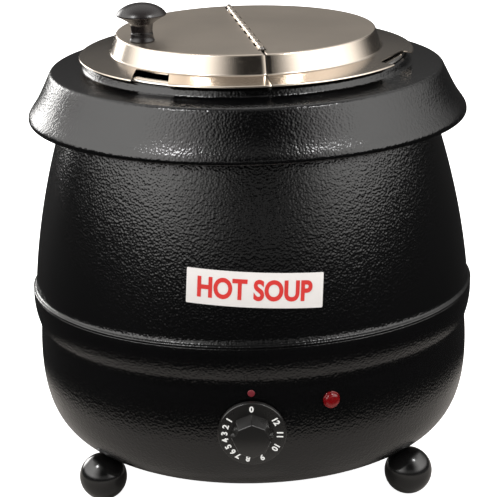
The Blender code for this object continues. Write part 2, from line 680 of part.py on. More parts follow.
def build_lid():
    """The two lid halves, the hinge between them, the notches and the knob."""
    lid_frame = add_frame("lid_frame", Matrix.Rotation(radians(LID_AZIMUTH), 4, "Z"))
    hinge = Matrix.Translation((0, 0, HINGE_H)) @ Matrix.Rotation(radians(LID_AZIMUTH), 4, "Z")
    flap_frame = add_frame("flap_hinge", hinge)
    flap = lid_half("lid_flap", -1, flap_frame, drop=HINGE_H)
    fixed = lid_half("lid_fixed_half", 1, lid_frame)
    bore = cylinder("hinge_bore", PIN_R + GAP, -0.12, 0.12, sides=8, parent=flap_frame)
    bore.rotation_euler.x = pi / 2
    for half, side in ((flap, -1), (fixed, 1)):
        build_knuckles(half, side, flap_frame)
        cut(half, bore)

    low, high = HINGE_START - GAP, HINGE_END + GAP
    head = PIN_HEAD_R
    profile = [(0, high + 1.9 * head), (head * 0.7, high + 1.6 * head), (head, high + head)]
    profile += [(head * 0.7, high + 0.3 * head), (PIN_R, high), (PIN_R, low)]
    profile += [(head * 0.7, low - 0.3 * head), (head, low - head)]
    profile += [(head * 0.7, low - 1.6 * head), (0, low - 1.9 * head)]
    pin = turned("hinge_pin", profile, "zinc_steel", steps=8, parent=flap_frame)
    pin.rotation_euler.x = -pi / 2

    left, right = LADLE_NOTCH_X
    inner = [(x, -sqrt(LADLE_NOTCH_R**2 - x * x)) for x in (right, (left + right) / 2, left)]
    outline = inner + [(left - 0.006, -0.135), (right, -0.135)]
    cut(flap, prism("ladle_notch", outline, LID_RIM_H - 0.01, LID_FOOT_H + 0.0008))

    low_t, high_t = REST_NOTCH_SPAN
    notch = box("rest_notch", (low_t, -0.135, LID_RIM_H - 0.01), (high_t, -REST_NOTCH_R, LID_FOOT_H))
    notch.rotation_euler.z = radians(REST_NOTCH_AZIMUTH)
    cut(fixed, notch)
    build_knob(flap, flap_frame, hinge.inverted() @ Vector((KNOB_X, KNOB_Y, LID_TOP_H + GAP)))


def build_knob(flap, flap_frame, local):
    """The mushroom knob near the flap's edge, screwed on from below, at a place in the flap's frame."""
    neck = KNOB_NECK_R
    profile = [(0, KNOB_H), (KNOB_R * 0.45, KNOB_H - 0.0012), (KNOB_R * 0.8, KNOB_H - 0.0042)]
    profile += [(KNOB_R, KNOB_H - 0.0078), (KNOB_R, KNOB_H - 0.0090), (KNOB_R * 0.75, KNOB_H - 0.0120)]
    profile += [(neck * 1.05, KNOB_H - 0.0150), (neck * 0.95, 0.0060), (neck * 1.15, 0), (0, 0)]
    knob = turned("lid_knob", profile, "black_phenolic", steps=20, parent=flap_frame, location=local)
    placing = {"parent": flap_frame, "location": local}
    bore_r = KNOB_SCREW[0] + GAP
    cut(knob, drill("knob_bore", bore_r, 10, high=KNOB_SCREW[1], **placing))
    cut(flap, drill("knob_hole", bore_r, 10, **placing))
    under = local - Vector((0, 0, LID_SHEET + 2 * GAP))
    fixing = screw("knob_screw", under, KNOB_SCREW, parent=flap_frame)
    fixing.rotation_euler.x = pi


def main():
    """Builds the kettle from the body outwards."""
    build_upper_shell()
    lower = build_lower_shell()
    build_base_plate(lower)
    build_feet(lower)
    build_well()
    build_heater()
    build_thermostat(lower)
    build_sensor()
    build_lamp(lower)
    build_mark()
    build_label()
    build_gland(lower)
    build_wires()
    build_collar()
    build_pot()
    build_lid()


main()
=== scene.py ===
"""The finished look of a counter-top soup kettle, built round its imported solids.

Metres, +Z up, front towards -Y, as in the frame. An azimuth is counted from the front
towards +X, and a profile is a list of (radius, height) points that runs down the outer
side of a piece, top to bottom.
"""

from __future__ import annotations

import json
import logging
from collections.abc import Iterable, Sequence
from dataclasses import dataclass, field
from enum import Enum
from math import atan2, cos, degrees, hypot, pi, radians, sin, sqrt

import bmesh
import bpy
from mathutils import Matrix, Vector

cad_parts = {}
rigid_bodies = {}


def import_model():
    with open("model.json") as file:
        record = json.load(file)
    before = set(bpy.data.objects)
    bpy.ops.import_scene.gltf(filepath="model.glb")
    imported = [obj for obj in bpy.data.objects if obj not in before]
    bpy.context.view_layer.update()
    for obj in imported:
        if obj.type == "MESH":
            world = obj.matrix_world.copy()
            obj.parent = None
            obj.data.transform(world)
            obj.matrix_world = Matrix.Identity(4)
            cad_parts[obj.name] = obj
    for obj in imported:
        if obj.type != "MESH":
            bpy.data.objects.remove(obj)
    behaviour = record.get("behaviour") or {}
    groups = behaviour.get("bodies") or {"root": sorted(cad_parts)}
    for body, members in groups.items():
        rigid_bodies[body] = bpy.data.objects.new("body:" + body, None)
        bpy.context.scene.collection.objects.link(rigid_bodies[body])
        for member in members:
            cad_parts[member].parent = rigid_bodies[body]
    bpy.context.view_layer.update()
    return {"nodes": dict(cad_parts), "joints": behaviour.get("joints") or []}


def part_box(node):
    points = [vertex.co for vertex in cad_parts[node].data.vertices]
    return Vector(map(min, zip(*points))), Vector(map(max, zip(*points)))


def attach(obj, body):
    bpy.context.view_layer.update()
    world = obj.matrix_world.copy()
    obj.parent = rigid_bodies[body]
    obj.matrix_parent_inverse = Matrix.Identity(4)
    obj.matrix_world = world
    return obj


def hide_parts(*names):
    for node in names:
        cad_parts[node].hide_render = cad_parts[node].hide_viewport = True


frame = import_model()

Point = tuple[float, float]
Corner = tuple[float, float, float]
Colour = tuple[float, float, float]

LOG = logging.getLogger("soup_kettle")
STEPS = 160  # facets round a full turn
GAP = 0.0003  # clearance between pieces that touch
WELD = 0.000002
SHEET = 0.0012
THROUGH = 0.010  # how far a cutter reaches past a sheet
SCREW_HOLE_R = 0.0021
STUD_BORE_R = 0.0028
KNOB_BORE_R = 0.0023


class Body(Enum):
    """The bodies that pieces ride on."""

    KETTLE = "kettle"
    COLLAR = "collar"
    POT = "pot"
    LID = "lid"
    FLAP = "lid_flap"
    DIAL = "dial"


class Side(Enum):
    """The two halves of the lid, by which side of the hinge line they are on."""

    FLAP = -1
    FIXED = 1


class Cut(Enum):
    """What a second shape does to a piece."""

    TAKE = "DIFFERENCE"
    JOIN = "UNION"


# ---------------------------------------------------------------- outlines
def around(azimuth: float, radius: float, height: float = 0.0) -> Vector:
    """The point at that azimuth in degrees, radius and height."""
    a = radians(azimuth)
    return Vector((radius * sin(a), -radius * cos(a), height))


def cubic(points: Sequence[Point], start: float = 0.0, end: float = 1.0,
          count: int = 18) -> list[Point]:
    """Points along a cubic curve.

    Args:
        points: Its four control points.
        start: Where it begins, as a share of the curve's parameter.
        end: Where it ends.
        count: How many steps it takes.

    Returns:
        The points, both ends included.
    """
    found = []
    for index in range(count + 1):
        t = start + (end - start) * index / count
        s = 1 - t
        weights = (s**3, 3 * s * s * t, 3 * s * t * t, t**3)
        found.append(tuple(sum(w * p[axis] for w, p in zip(weights, points)) for axis in (0, 1)))
    return found


def rounded(corners: Sequence[Corner], count: int = 5) -> list[Point]:
    """An outline whose corners are eased into curves.

    Args:
        corners: (radius, height, ease) for each corner, where ease is how far back from the
            corner its curve begins.
        count: Steps in each curve.

    Returns:
        The outline's points.
    """
    outline: list[Point] = []
    for index, (x, y, ease) in enumerate(corners):
        here = Vector((x, y))
        if not ease or index in (0, len(corners) - 1):
            outline.append((x, y))
            continue
        before = Vector(corners[index - 1][:2]) - here
        after = Vector(corners[index + 1][:2]) - here
        start = here + before.normalized() * min(ease, before.length * 0.49)
        end = here + after.normalized() * min(ease, after.length * 0.49)
        for step in range(count + 1):
            t = step / count
            spot = start * (1 - t) ** 2 + here * 2 * t * (1 - t) + end * t * t
            outline.append((spot.x, spot.y))
    return outline


# ---------------------------------------------------------------- meshes
def add_piece(name: str, bm: bmesh.types.BMesh) -> bpy.types.Object:
    """Turns a bmesh into an object in the scene.

    Args:
        name: The object's name.
        bm: Its shape, which is freed.

    Returns:
        The object, at the origin.
    """
    mesh = bpy.data.meshes.new(name)
    bm.to_mesh(mesh)
    bm.free()
    piece = bpy.data.objects.new(name, mesh)
    bpy.context.scene.collection.objects.link(piece)
    return piece


def spun(name: str, profile: Sequence[Point], steps: int = STEPS,
         turn: float = 360.0) -> bpy.types.Object:
    """Turns a profile about Z.

    Args:
        name: The object's name.
        profile: (radius, height) points down the outer side.
        steps: Facets in the turn.
        turn: How far it goes, in degrees, from +X.

    Returns:
        The surface, its faces outwards.
    """
    bm = bmesh.new()
    ring = [bm.verts.new((radius, 0.0, height)) for radius, height in profile]
    edges = [bm.edges.new(pair) for pair in zip(ring, ring[1:])]
    full = turn >= 360
    bmesh.ops.spin(bm, geom=ring + edges, cent=(0, 0, 0), axis=(0, 0, 1), dvec=(0, 0, 0),
                   angle=radians(turn), steps=steps, use_merge=full, use_duplicate=False)
    bmesh.ops.remove_doubles(bm, verts=bm.verts, dist=WELD)
    bm.normal_update()
    longest = max(zip(profile, profile[1:]), key=lambda pair: hypot(pair[1][0] - pair[0][0],
                                                                    pair[1][1] - pair[0][1]))
    (r1, h1), (r2, h2) = longest
    middle = Vector(((r1 + r2) / 2, 0, (h1 + h2) / 2))
    face = min(bm.faces, key=lambda item: (item.calc_center_median() - middle).length)
    if face.normal.dot(Vector((h1 - h2, 0, r2 - r1))) < 0:
        bmesh.ops.reverse_faces(bm, faces=bm.faces)
    return add_piece(name, bm)


def edges_by_rise(bm: bmesh.types.BMesh, least: float, most: float = 10.0) -> list[bmesh.types.BMEdge]:
    """The edges whose two ends differ in height by more than least and less than most."""
    return [edge for edge in bm.edges if least < abs(edge.verts[0].co.z - edge.verts[1].co.z) < most]


def ease_edges(bm: bmesh.types.BMesh, edges: Iterable[bmesh.types.BMEdge], width: float,
               segments: int = 3) -> None:
    """Rounds some of a bmesh's edges."""
    bmesh.ops.bevel(bm, geom=edges, offset=width, segments=segments, profile=0.5, affect="EDGES",
                    material=-1)


def block(low: Sequence[float], high: Sequence[float], ease: float = 0.0) -> bmesh.types.BMesh:
    """A box between two corners.

    Args:
        low: Its lowest corner.
        high: Its highest corner.
        ease: The width of its bevels, or 0 for none.

    Returns:
        Its bmesh.
    """
    low_corner, high_corner = Vector(low), Vector(high)
    bm = bmesh.new()
    bmesh.ops.create_cube(bm, size=1.0)
    bmesh.ops.scale(bm, vec=high_corner - low_corner, verts=bm.verts)
    bmesh.ops.translate(bm, vec=(low_corner + high_corner) / 2, verts=bm.verts)
    if ease:
        ease_edges(bm, bm.edges, ease)
    return bm


def rod(radius: float, low: float, high: float, sides: int = 48, top: float | None = None,
        ease: float = 0.0) -> bmesh.types.BMesh:
    """A cylinder, cone or prism along Z.

    Args:
        radius: Its radius at the low end.
        low: Its low end's height.
        high: Its high end's height.
        sides: How many sides it has.
        top: Its radius at the high end, if that differs.
        ease: The width of the bevels round its ends, or 0 for none.

    Returns:
        Its bmesh.
    """
    bm = bmesh.new()
    bmesh.ops.create_cone(bm, cap_ends=True, segments=sides, radius1=radius,
                          radius2=radius if top is None else top, depth=high - low)
    if ease:
        ease_edges(bm, edges_by_rise(bm, -1.0, WELD), ease)
    bmesh.ops.translate(bm, vec=(0, 0, (low + high) / 2), verts=bm.verts)
    return bm


def moved(bm: bmesh.types.BMesh, matrix: Matrix) -> bmesh.types.BMesh:
    """The same bmesh, taken to its place."""
    bmesh.ops.transform(bm, matrix=matrix, verts=bm.verts)
    return bm


def middle_of(node: str) -> Vector:
    """The middle of a CAD node's box."""
    low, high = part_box(node)
    return (low + high) / 2


def hole_at(node: str, radius: float, low: float, high: float) -> bmesh.types.BMesh:
    """An upright cutter on a CAD node's axis.

    Args:
        node: The node, such as a screw.
        radius: The hole's radius.
        low: Where the cutter begins.
        high: Where it ends.

    Returns:
        Its bmesh.
    """
    middle = middle_of(node)
    return moved(rod(radius, low, high, 20), Matrix.Translation((middle.x, middle.y, 0)))


def joint_frame(name: str, x_axis: Vector | None = None) -> Matrix:
    """The frame of one of the record's joints.

    Args:
        name: The joint's name.
        x_axis: For a joint whose axis points into the part, the frame's X; its Z then comes out
            along the axis. Without it the axis is the frame's Y, and its Z is up.

    Returns:
        The frame's matrix.
    """
    joint = next(item for item in frame["joints"] if item["name"] == name)
    axis = Vector(joint["axis"]).normalized()
    if x_axis is not None:
        z_axis, y_axis = -axis, (-axis).cross(x_axis)
    else:
        z_axis, y_axis = Vector((0, 0, 1)), axis
        x_axis = y_axis.cross(z_axis)
    matrix = Matrix((x_axis, y_axis, z_axis)).transposed().to_4x4()
    matrix.translation = Vector(joint["pos_m"])
    return matrix


def shift(piece: bpy.types.Object, matrix: Matrix) -> bpy.types.Object:
    """The same piece, its mesh taken to its place."""
    piece.data.transform(matrix)
    return piece


def settle(piece: bpy.types.Object) -> bpy.types.Object:
    """Makes a piece's modifiers part of its mesh.

    Args:
        piece: The piece to settle.

    Returns:
        The same piece, with no modifiers left.
    """
    graph = bpy.context.evaluated_depsgraph_get()
    mesh = bpy.data.meshes.new_from_object(piece.evaluated_get(graph))
    old = piece.data
    piece.modifiers.clear()
    piece.data = mesh
    bpy.data.meshes.remove(old)
    mesh.name = piece.name
    return piece


def thicken(piece: bpy.types.Object, wall: float) -> bpy.types.Object:
    """Gives an open surface a wall inside it."""
    solid = piece.modifiers.new("wall", "SOLIDIFY")
    solid.thickness = wall
    solid.offset = -1
    solid.use_even_offset = True
    return settle(piece)


def carve(piece: bpy.types.Object, shapes: Iterable[bmesh.types.BMesh],
          cut: Cut = Cut.TAKE) -> bpy.types.Object:
    """Cuts shapes out of a piece, or joins them to it.

    Args:
        piece: The piece to change.
        shapes: The closed shapes, each of which is freed.
        cut: What they do to it.

    Returns:
        The same piece.
    """
    tools = bpy.data.collections.new(f"{piece.name}_tools")
    bpy.context.scene.collection.children.link(tools)
    for index, bm in enumerate(shapes):
        bmesh.ops.recalc_face_normals(bm, faces=bm.faces)
        tool = add_piece(f"{piece.name}_tool_{index}", bm)
        bpy.context.scene.collection.objects.unlink(tool)
        tools.objects.link(tool)
    boolean = piece.modifiers.new("cut", "BOOLEAN")
    boolean.operation = cut.value
    boolean.operand_type = "COLLECTION"
    boolean.collection = tools
    settle(piece)
    for tool in list(tools.objects):
        bpy.data.objects.remove(tool)
    bpy.data.collections.remove(tools)
    return piece


def soften(piece: bpy.types.Object, width: float, angle: float = 50.0,
           segments: int = 2) -> bpy.types.Object:
    """Rounds a piece's sharp edges.

    Args:
        piece: The piece to soften.
        width: How wide each bevel is.
        angle: The least angle, in degrees, of an edge that is rounded.
        segments: Steps in each bevel.

    Returns:
        The same piece.
    """
    bevel = piece.modifiers.new("edges", "BEVEL")
    bevel.width = width
    bevel.segments = segments
    bevel.limit_method = "ANGLE"
    bevel.angle_limit = radians(angle)
    return settle(piece)


def lettering(text: str, height: float, depth: float, weight: float,
              width: float = 0.0) -> bmesh.types.BMesh:
    """Solid lettering, centred on the origin in the XY plane.

    Args:
        text: What it says.
        height: How tall its capitals or figures are.
        depth: How far it stands up along Z.
        weight: How far its strokes are widened, as a share of the font's size.
        width: How wide the whole is made, or 0 to leave it in proportion.

    Returns:
        Its bmesh, from Z 0 to depth.
    """
    curve = bpy.data.curves.new(text, "FONT")
    curve.body = text
    curve.offset = weight
    curve.extrude = 0.5
    curve.resolution_u = 6
    source = bpy.data.objects.new(text, curve)
    bpy.context.scene.collection.objects.link(source)
    graph = bpy.context.evaluated_depsgraph_get()
    mesh = bpy.data.meshes.new_from_object(source.evaluated_get(graph))
    bpy.data.objects.remove(source)
    bpy.data.curves.remove(curve)
    bm = bmesh.new()
    bm.from_mesh(mesh)
    bpy.data.meshes.remove(mesh)
    bmesh.ops.remove_doubles(bm, verts=bm.verts, dist=0.00001)
    low = Vector([min(vert.co[axis] for vert in bm.verts) for axis in range(3)])
    high = Vector([max(vert.co[axis] for vert in bm.verts) for axis in range(3)])
    size = high - low
    tall = height / size.y
    wide = width / size.x if width else tall
    bmesh.ops.translate(bm, vec=(-(low.x + high.x) / 2, -(low.y + high.y) / 2, -low.z), verts=bm.verts)
    bmesh.ops.scale(bm, vec=(wide, tall, depth / size.z), verts=bm.verts)
    return bm


# ---------------------------------------------------------------- shader effects
class Nodes:
    """A node tree, with short ways to add to it."""

    def __init__(self, tree: bpy.types.NodeTree) -> None:
        """Takes hold of a tree."""
        self.tree = tree

    def add(self, kind: str, inputs: dict[str | int, object] | None = None,
            **settings: object) -> bpy.types.Node:
        """Adds a node.

        Args:
            kind: Its type, without the ShaderNode prefix.
            inputs: What goes into its sockets, each a socket to link or a plain value.
            **settings: Its own settings.

        Returns:
            The node.
        """
        node = self.tree.nodes.new(kind if kind.startswith("Node") else f"ShaderNode{kind}")
        for name, value in settings.items():
            setattr(node, name, value)
        for name, value in (inputs or {}).items():
            if isinstance(value, bpy.types.NodeSocket):
                self.tree.links.new(value, node.inputs[name])
            else:
                node.inputs[name].default_value = value
        return node

    def sums(self, operation: str, first: object, second: object = 0.0) -> bpy.types.NodeSocket:
        """One sum of two values, each a socket or a number."""
        return self.add("Math", {0: first, 1: second}, operation=operation).outputs[0]

    def span(self, value: object, low: float, high: float, start: float = 0.0,
             end: float = 1.0) -> bpy.types.NodeSocket:
        """A value eased from one range to another.

        Args:
            value: The socket to read.
            low: The value that gives start.
            high: The value that gives end.
            start: What comes out at and below low.
            end: What comes out at and above high.

        Returns:
            The eased value.
        """
        inputs = {"Value": value, "From Min": low, "From Max": high, "To Min": start, "To Max": end}
        return self.add("MapRange", inputs, interpolation_type="SMOOTHSTEP").outputs["Result"]

    def mix(self, amount: object, first: object, second: object) -> bpy.types.NodeSocket:
        """A colour between two colours."""
        node = self.tree.nodes.new("ShaderNodeMix")
        node.data_type = "RGBA"
        for socket, value in ((node.inputs[0], amount), (node.inputs[6], first), (node.inputs[7], second)):
            if isinstance(value, bpy.types.NodeSocket):
                self.tree.links.new(value, socket)
            else:
                socket.default_value = value
        return node.outputs[2]

    def place(self) -> bpy.types.NodeSocket:
        """Where on the object a point is."""
        return self.add("TexCoord").outputs["Object"]


@dataclass(frozen=True)
class Effect:
    """A shader node group, built once and placed in any material.

    Attributes:
        title: The group's name.
        values: Its number inputs, with their first values.
        colour: Whether it takes and gives a colour, rather than a value.
    """

    title: str
    values: tuple[tuple[str, float], ...]
    colour: bool = False

    def fill(self, nodes: Nodes, given: bpy.types.Node) -> bpy.types.NodeSocket:
        """Makes the effect's inside and returns what it puts out."""
        raise NotImplementedError

    def tree(self) -> bpy.types.NodeTree:
        """The effect's node group.

        Returns:
            The group, made the first time.
        """
        tree = bpy.data.node_groups.get(self.title)
        if tree:
            return tree
        tree = bpy.data.node_groups.new(self.title, "ShaderNodeTree")
        tree.interface.new_socket("Place", in_out="INPUT", socket_type="NodeSocketVector")
        if self.colour:
            tree.interface.new_socket("Colour", in_out="INPUT", socket_type="NodeSocketColor")
        for name, value in self.values:
            socket = tree.interface.new_socket(name, in_out="INPUT", socket_type="NodeSocketFloat")
            socket.default_value = value
        kind = "NodeSocketColor" if self.colour else "NodeSocketFloat"
        tree.interface.new_socket("Result", in_out="OUTPUT", socket_type=kind)
        nodes = Nodes(tree)
        result = self.fill(nodes, nodes.add("NodeGroupInput"))
        nodes.add("NodeGroupOutput", {"Result": result})
        return tree

    def use(self, nodes: Nodes, **inputs: object) -> bpy.types.NodeSocket:
        """Places the effect in a material.

        Args:
            nodes: The material's nodes.
            **inputs: Values for its inputs, in place of the first ones.

        Returns:
            What it puts out.
        """
        node = nodes.tree.nodes.new("ShaderNodeGroup")
        node.node_tree = self.tree()
        nodes.tree.links.new(nodes.place(), node.inputs["Place"])
        for name, value in inputs.items():
            if isinstance(value, bpy.types.NodeSocket):
                nodes.tree.links.new(value, node.inputs[name])
            else:
                node.inputs[name].default_value = value
        return node.outputs["Result"]


class Peel(Effect):
    """The pebbled skin of a hammer-finish coat, as a height."""

    def fill(self, nodes: Nodes, given: bpy.types.Node) -> bpy.types.NodeSocket:
        """Lays round pebbles over a slower swell."""
        place, scale = given.outputs["Place"], given.outputs["Scale"]
        pebble = nodes.add("TexVoronoi", {"Vector": place, "Scale": scale, "Smoothness": 0.8},
                           feature="SMOOTH_F1").outputs["Distance"]
        slow = nodes.sums("MULTIPLY", scale, 0.42)
        swell = nodes.add("TexNoise", {"Vector": place, "Scale": slow, "Detail": 2.0}).outputs[0]
        return nodes.sums("ADD", nodes.sums("MULTIPLY", pebble, given.outputs["Pebble"]), swell)


class Drift(Effect):
    """A slow change over a surface, centred on nought."""

    def fill(self, nodes: Nodes, given: bpy.types.Node) -> bpy.types.NodeSocket:
        """Scales a soft noise by its amount."""
        inputs = {"Vector": given.outputs["Place"], "Scale": given.outputs["Scale"], "Detail": 3.0}
        noise = nodes.add("TexNoise", inputs).outputs[0]
        return nodes.sums("MULTIPLY", nodes.sums("SUBTRACT", noise, 0.5), given.outputs["Amount"])


class Tint(Effect):
    """A colour that gets a little lighter and darker over a surface."""

    def fill(self, nodes: Nodes, given: bpy.types.Node) -> bpy.types.NodeSocket:
        """Scales the colour by a soft noise."""
        inputs = {"Vector": given.outputs["Place"], "Scale": given.outputs["Scale"], "Detail": 4.0}
        noise = nodes.add("TexNoise", inputs).outputs[0]
        swing = nodes.sums("MULTIPLY", nodes.span(noise, 0.3, 0.7, -1.0, 1.0), given.outputs["Amount"])
        scaled = {0: given.outputs["Colour"], "Scale": nodes.sums("ADD", swing, 1.0)}
        return nodes.add("VectorMath", scaled, operation="SCALE").outputs["Vector"]


class Rings(Effect):
    """The fine rings that spinning and polishing leave in sheet metal, as a height."""

    def fill(self, nodes: Nodes, given: bpy.types.Node) -> bpy.types.NodeSocket:
        """Reads a noise along the distance from the upright axis."""
        apart = nodes.add("SeparateXYZ", {0: given.outputs["Place"]})
        flat = nodes.add("CombineXYZ", {0: apart.outputs[0], 1: apart.outputs[1]}).outputs[0]
        radius = nodes.add("VectorMath", {0: flat}, operation="LENGTH").outputs["Value"]
        along = nodes.sums("ADD", radius, apart.outputs[2])
        line = nodes.sums("MULTIPLY", along, given.outputs["Lines"])
        inputs = {"W": line, "Scale": 1.0, "Detail": 3.0}
        return nodes.add("TexNoise", inputs, noise_dimensions="1D").outputs[0]


class Scuffs(Effect):
    """Sparse fine scratches, as a mask from 0 to 1."""

    def fill(self, nodes: Nodes, given: bpy.types.Node) -> bpy.types.NodeSocket:
        """Keeps the thin ridges of two stretched noises."""
        total: object = 0.0
        for turn, stretch in ((0.5, (1.0, 9.0, 1.0)), (2.1, (9.0, 1.0, 1.0))):
            mapping = nodes.add("Mapping", {"Vector": given.outputs["Place"], "Rotation": (0.0, 0.0, turn),
                                            "Scale": stretch}).outputs[0]
            inputs = {"Vector": mapping, "Scale": given.outputs["Scale"], "Detail": 5.0}
            noise = nodes.add("TexNoise", inputs).outputs[0]
            ridge = nodes.sums("ABSOLUTE", nodes.sums("SUBTRACT", noise, 0.5))
            total = nodes.sums("ADD", total, nodes.span(ridge, 0.012, 0.0))
        return nodes.sums("MULTIPLY", total, given.outputs["Amount"])


PEEL = Peel("hammer_peel", (("Scale", 480.0), ("Pebble", 1.8)))
DRIFT = Drift("surface_drift", (("Scale", 12.0), ("Amount", 0.1)))
TINT = Tint("colour_drift", (("Scale", 14.0), ("Amount", 0.1)), colour=True)
RINGS = Rings("spun_rings", (("Lines", 1800.0),))
SCUFFS = Scuffs("fine_scuffs", (("Scale", 60.0), ("Amount", 0.1)))


# ---------------------------------------------------------------- finishes
@dataclass(frozen=True)
class Finish:
    """A surface finish, as a material on Object coordinates.

    Attributes:
        slot: The record's slot that it belongs to.
        colour: Its base colour.
        roughness: Its mean roughness.
        metallic: 1 for bare metal.
        tint: How far its colour drifts.
        drift: How far its roughness drifts.
        scuffs: How strongly fine scratches roughen it.
        grain: The height of its grain, in metres.
        scale: How fine its grain is.
        coat: Its clear coat's weight.
        title: Its material's name, where two finishes share a slot.
    """

    slot: str
    colour: Colour
    roughness: float
    metallic: float = 0.0
    tint: float = 0.10
    drift: float = 0.10
    scuffs: float = 0.05
    grain: float = 0.00001
    scale: float = 900.0
    coat: float = 0.0
    title: str = ""

    def height(self, nodes: Nodes) -> bpy.types.NodeSocket:
        """The grain that its bump follows."""
        inputs = {"Vector": nodes.place(), "Scale": self.scale, "Detail": 3.0}
        return nodes.add("TexNoise", inputs).outputs[0]

    def rough(self, nodes: Nodes) -> bpy.types.NodeSocket:
        """The roughness over its surface."""
        drift = DRIFT.use(nodes, Amount=self.drift)
        scuffs = SCUFFS.use(nodes, Amount=self.scuffs)
        return nodes.sums("ADD", nodes.sums("ADD", drift, self.roughness), scuffs)

    def tone(self, nodes: Nodes) -> bpy.types.NodeSocket:
        """The colour over its surface."""
        return TINT.use(nodes, Colour=(*self.colour, 1.0), Amount=self.tint)

    def shader(self, shader: bpy.types.Node) -> None:
        """Sets what is the same all over the surface."""
        shader.inputs["Metallic"].default_value = self.metallic
        shader.inputs["Coat Weight"].default_value = self.coat
        shader.inputs["Coat Roughness"].default_value = 0.05

    def material(self) -> bpy.types.Material:
        """Makes the material.

        Returns:
            The material, made the first time.
        """
        title = f"{self.title or self.slot}_finish"
        material = bpy.data.materials.get(title)
        if material:
            return material
        material = bpy.data.materials.new(title)
        material.use_nodes = True
        nodes = Nodes(material.node_tree)
        shader = material.node_tree.nodes["Principled BSDF"]
        bump = nodes.add("Bump", {"Height": self.height(nodes), "Distance": self.grain, "Strength": 1.0})
        links = material.node_tree.links
        links.new(self.tone(nodes), shader.inputs["Base Color"])
        links.new(self.rough(nodes), shader.inputs["Roughness"])
        links.new(bump.outputs[0], shader.inputs["Normal"])
        self.shader(shader)
        return material


@dataclass(frozen=True)
class HammeredPaint(Finish):
    """The body's glossy black coat, with its pebbled skin."""

    def height(self, nodes: Nodes) -> bpy.types.NodeSocket:
        """The pebbles that its bump follows."""
        return PEEL.use(nodes, Scale=self.scale)


@dataclass(frozen=True)
class SpunSteel(Finish):
    """Sheet steel finished on a lathe, polished below one height and satin above another.

    Attributes:
        satin: The roughness of its satin part.
        satin_from: The height at which the satin part begins.
        lines: Rings in a metre.
    """

    satin: float = 0.30
    satin_from: float = 10.0
    lines: float = 2200.0

    def height(self, nodes: Nodes) -> bpy.types.NodeSocket:
        """The rings that its bump follows."""
        return RINGS.use(nodes, Lines=self.lines)

    def rough(self, nodes: Nodes) -> bpy.types.NodeSocket:
        """Polished below, satin above."""
        height = nodes.add("SeparateXYZ", {0: nodes.place()}).outputs[2]
        extra = self.satin - self.roughness
        satin = nodes.span(height, self.satin_from - 0.0002, self.satin_from, 0.0, extra)
        return nodes.sums("ADD", super().rough(nodes), satin)


@dataclass(frozen=True)
class LampGlass(Finish):
    """Tinted clear plastic."""

    def shader(self, shader: bpy.types.Node) -> None:
        """Lets light through it."""
        super().shader(shader)
        shader.inputs["Transmission Weight"].default_value = 0.55
        shader.inputs["IOR"].default_value = 1.49


class Finishes:
    """Every finish on the kettle, by its slot."""

    PAINT = HammeredPaint("hammered_black", (0.0014, 0.0014, 0.0016), 0.16, tint=0.15, drift=0.05,
                          scuffs=0.03, grain=0.00012, scale=600.0)
    SATIN = SpunSteel("satin_steel", (0.64, 0.56, 0.475), 0.16, 1.0, tint=0.05, drift=0.05, scuffs=0.05,
                      grain=0.000002, satin=0.34, satin_from=0.3505)
    BRIGHT = SpunSteel("bright_steel", (0.70, 0.68, 0.65), 0.15, 1.0, tint=0.05, grain=0.000003)
    ZINC = Finish("zinc_steel", (0.56, 0.57, 0.57), 0.34, 1.0, tint=0.12, grain=0.000006)
    PLASTIC = Finish("black_plastic", (0.006, 0.006, 0.006), 0.16, tint=0.2, drift=0.08, grain=0.000004,
                     coat=0.2)
    DIAL = Finish("black_plastic", (0.010, 0.0095, 0.009), 0.27, tint=0.2, drift=0.08, grain=0.000004,
                  coat=0.15, title="dial_plastic")
    PHENOLIC = Finish("black_phenolic", (0.0085, 0.0055, 0.0055), 0.27, tint=0.2, drift=0.08,
                      grain=0.000005)
    LENS = LampGlass("red_lens", (0.30, 0.003, 0.006), 0.12, tint=0.08, grain=0.000004)
    INK = Finish("red_ink", (0.62, 0.022, 0.018), 0.38, tint=0.06, grain=0.000006)
    MARK = Finish("red_ink", (0.16, 0.012, 0.020), 0.30, tint=0.06, grain=0.000006, title="red_enamel")
    PIN = Finish("zinc_steel", (0.16, 0.15, 0.14), 0.30, 1.0, tint=0.12, grain=0.000006, title="dark_pin")
    MAGNET = Finish("white_magnet", (0.72, 0.69, 0.67), 0.36, tint=0.04, grain=0.00001)
    WHITE = Finish("white_print", (0.86, 0.86, 0.84), 0.42, tint=0.06, grain=0.000006)
    SHEATH = Finish("heater_sheath", (0.30, 0.27, 0.24), 0.44, 1.0, tint=0.35, grain=0.00001)
    ALUMINIUM = Finish("aluminium", (0.70, 0.71, 0.72), 0.36, 1.0, tint=0.10, grain=0.00001)
    COPPER = Finish("copper", (0.72, 0.36, 0.22), 0.30, 1.0, tint=0.22, grain=0.000006)
    IVORY = Finish("ivory_plastic", (0.76, 0.71, 0.60), 0.46, tint=0.08, grain=0.00001)
    BROWN = Finish("brown_wire", (0.15, 0.065, 0.03), 0.44, tint=0.12, grain=0.000008)
    BLUE = Finish("blue_wire", (0.03, 0.09, 0.38), 0.44, tint=0.12, grain=0.000008)


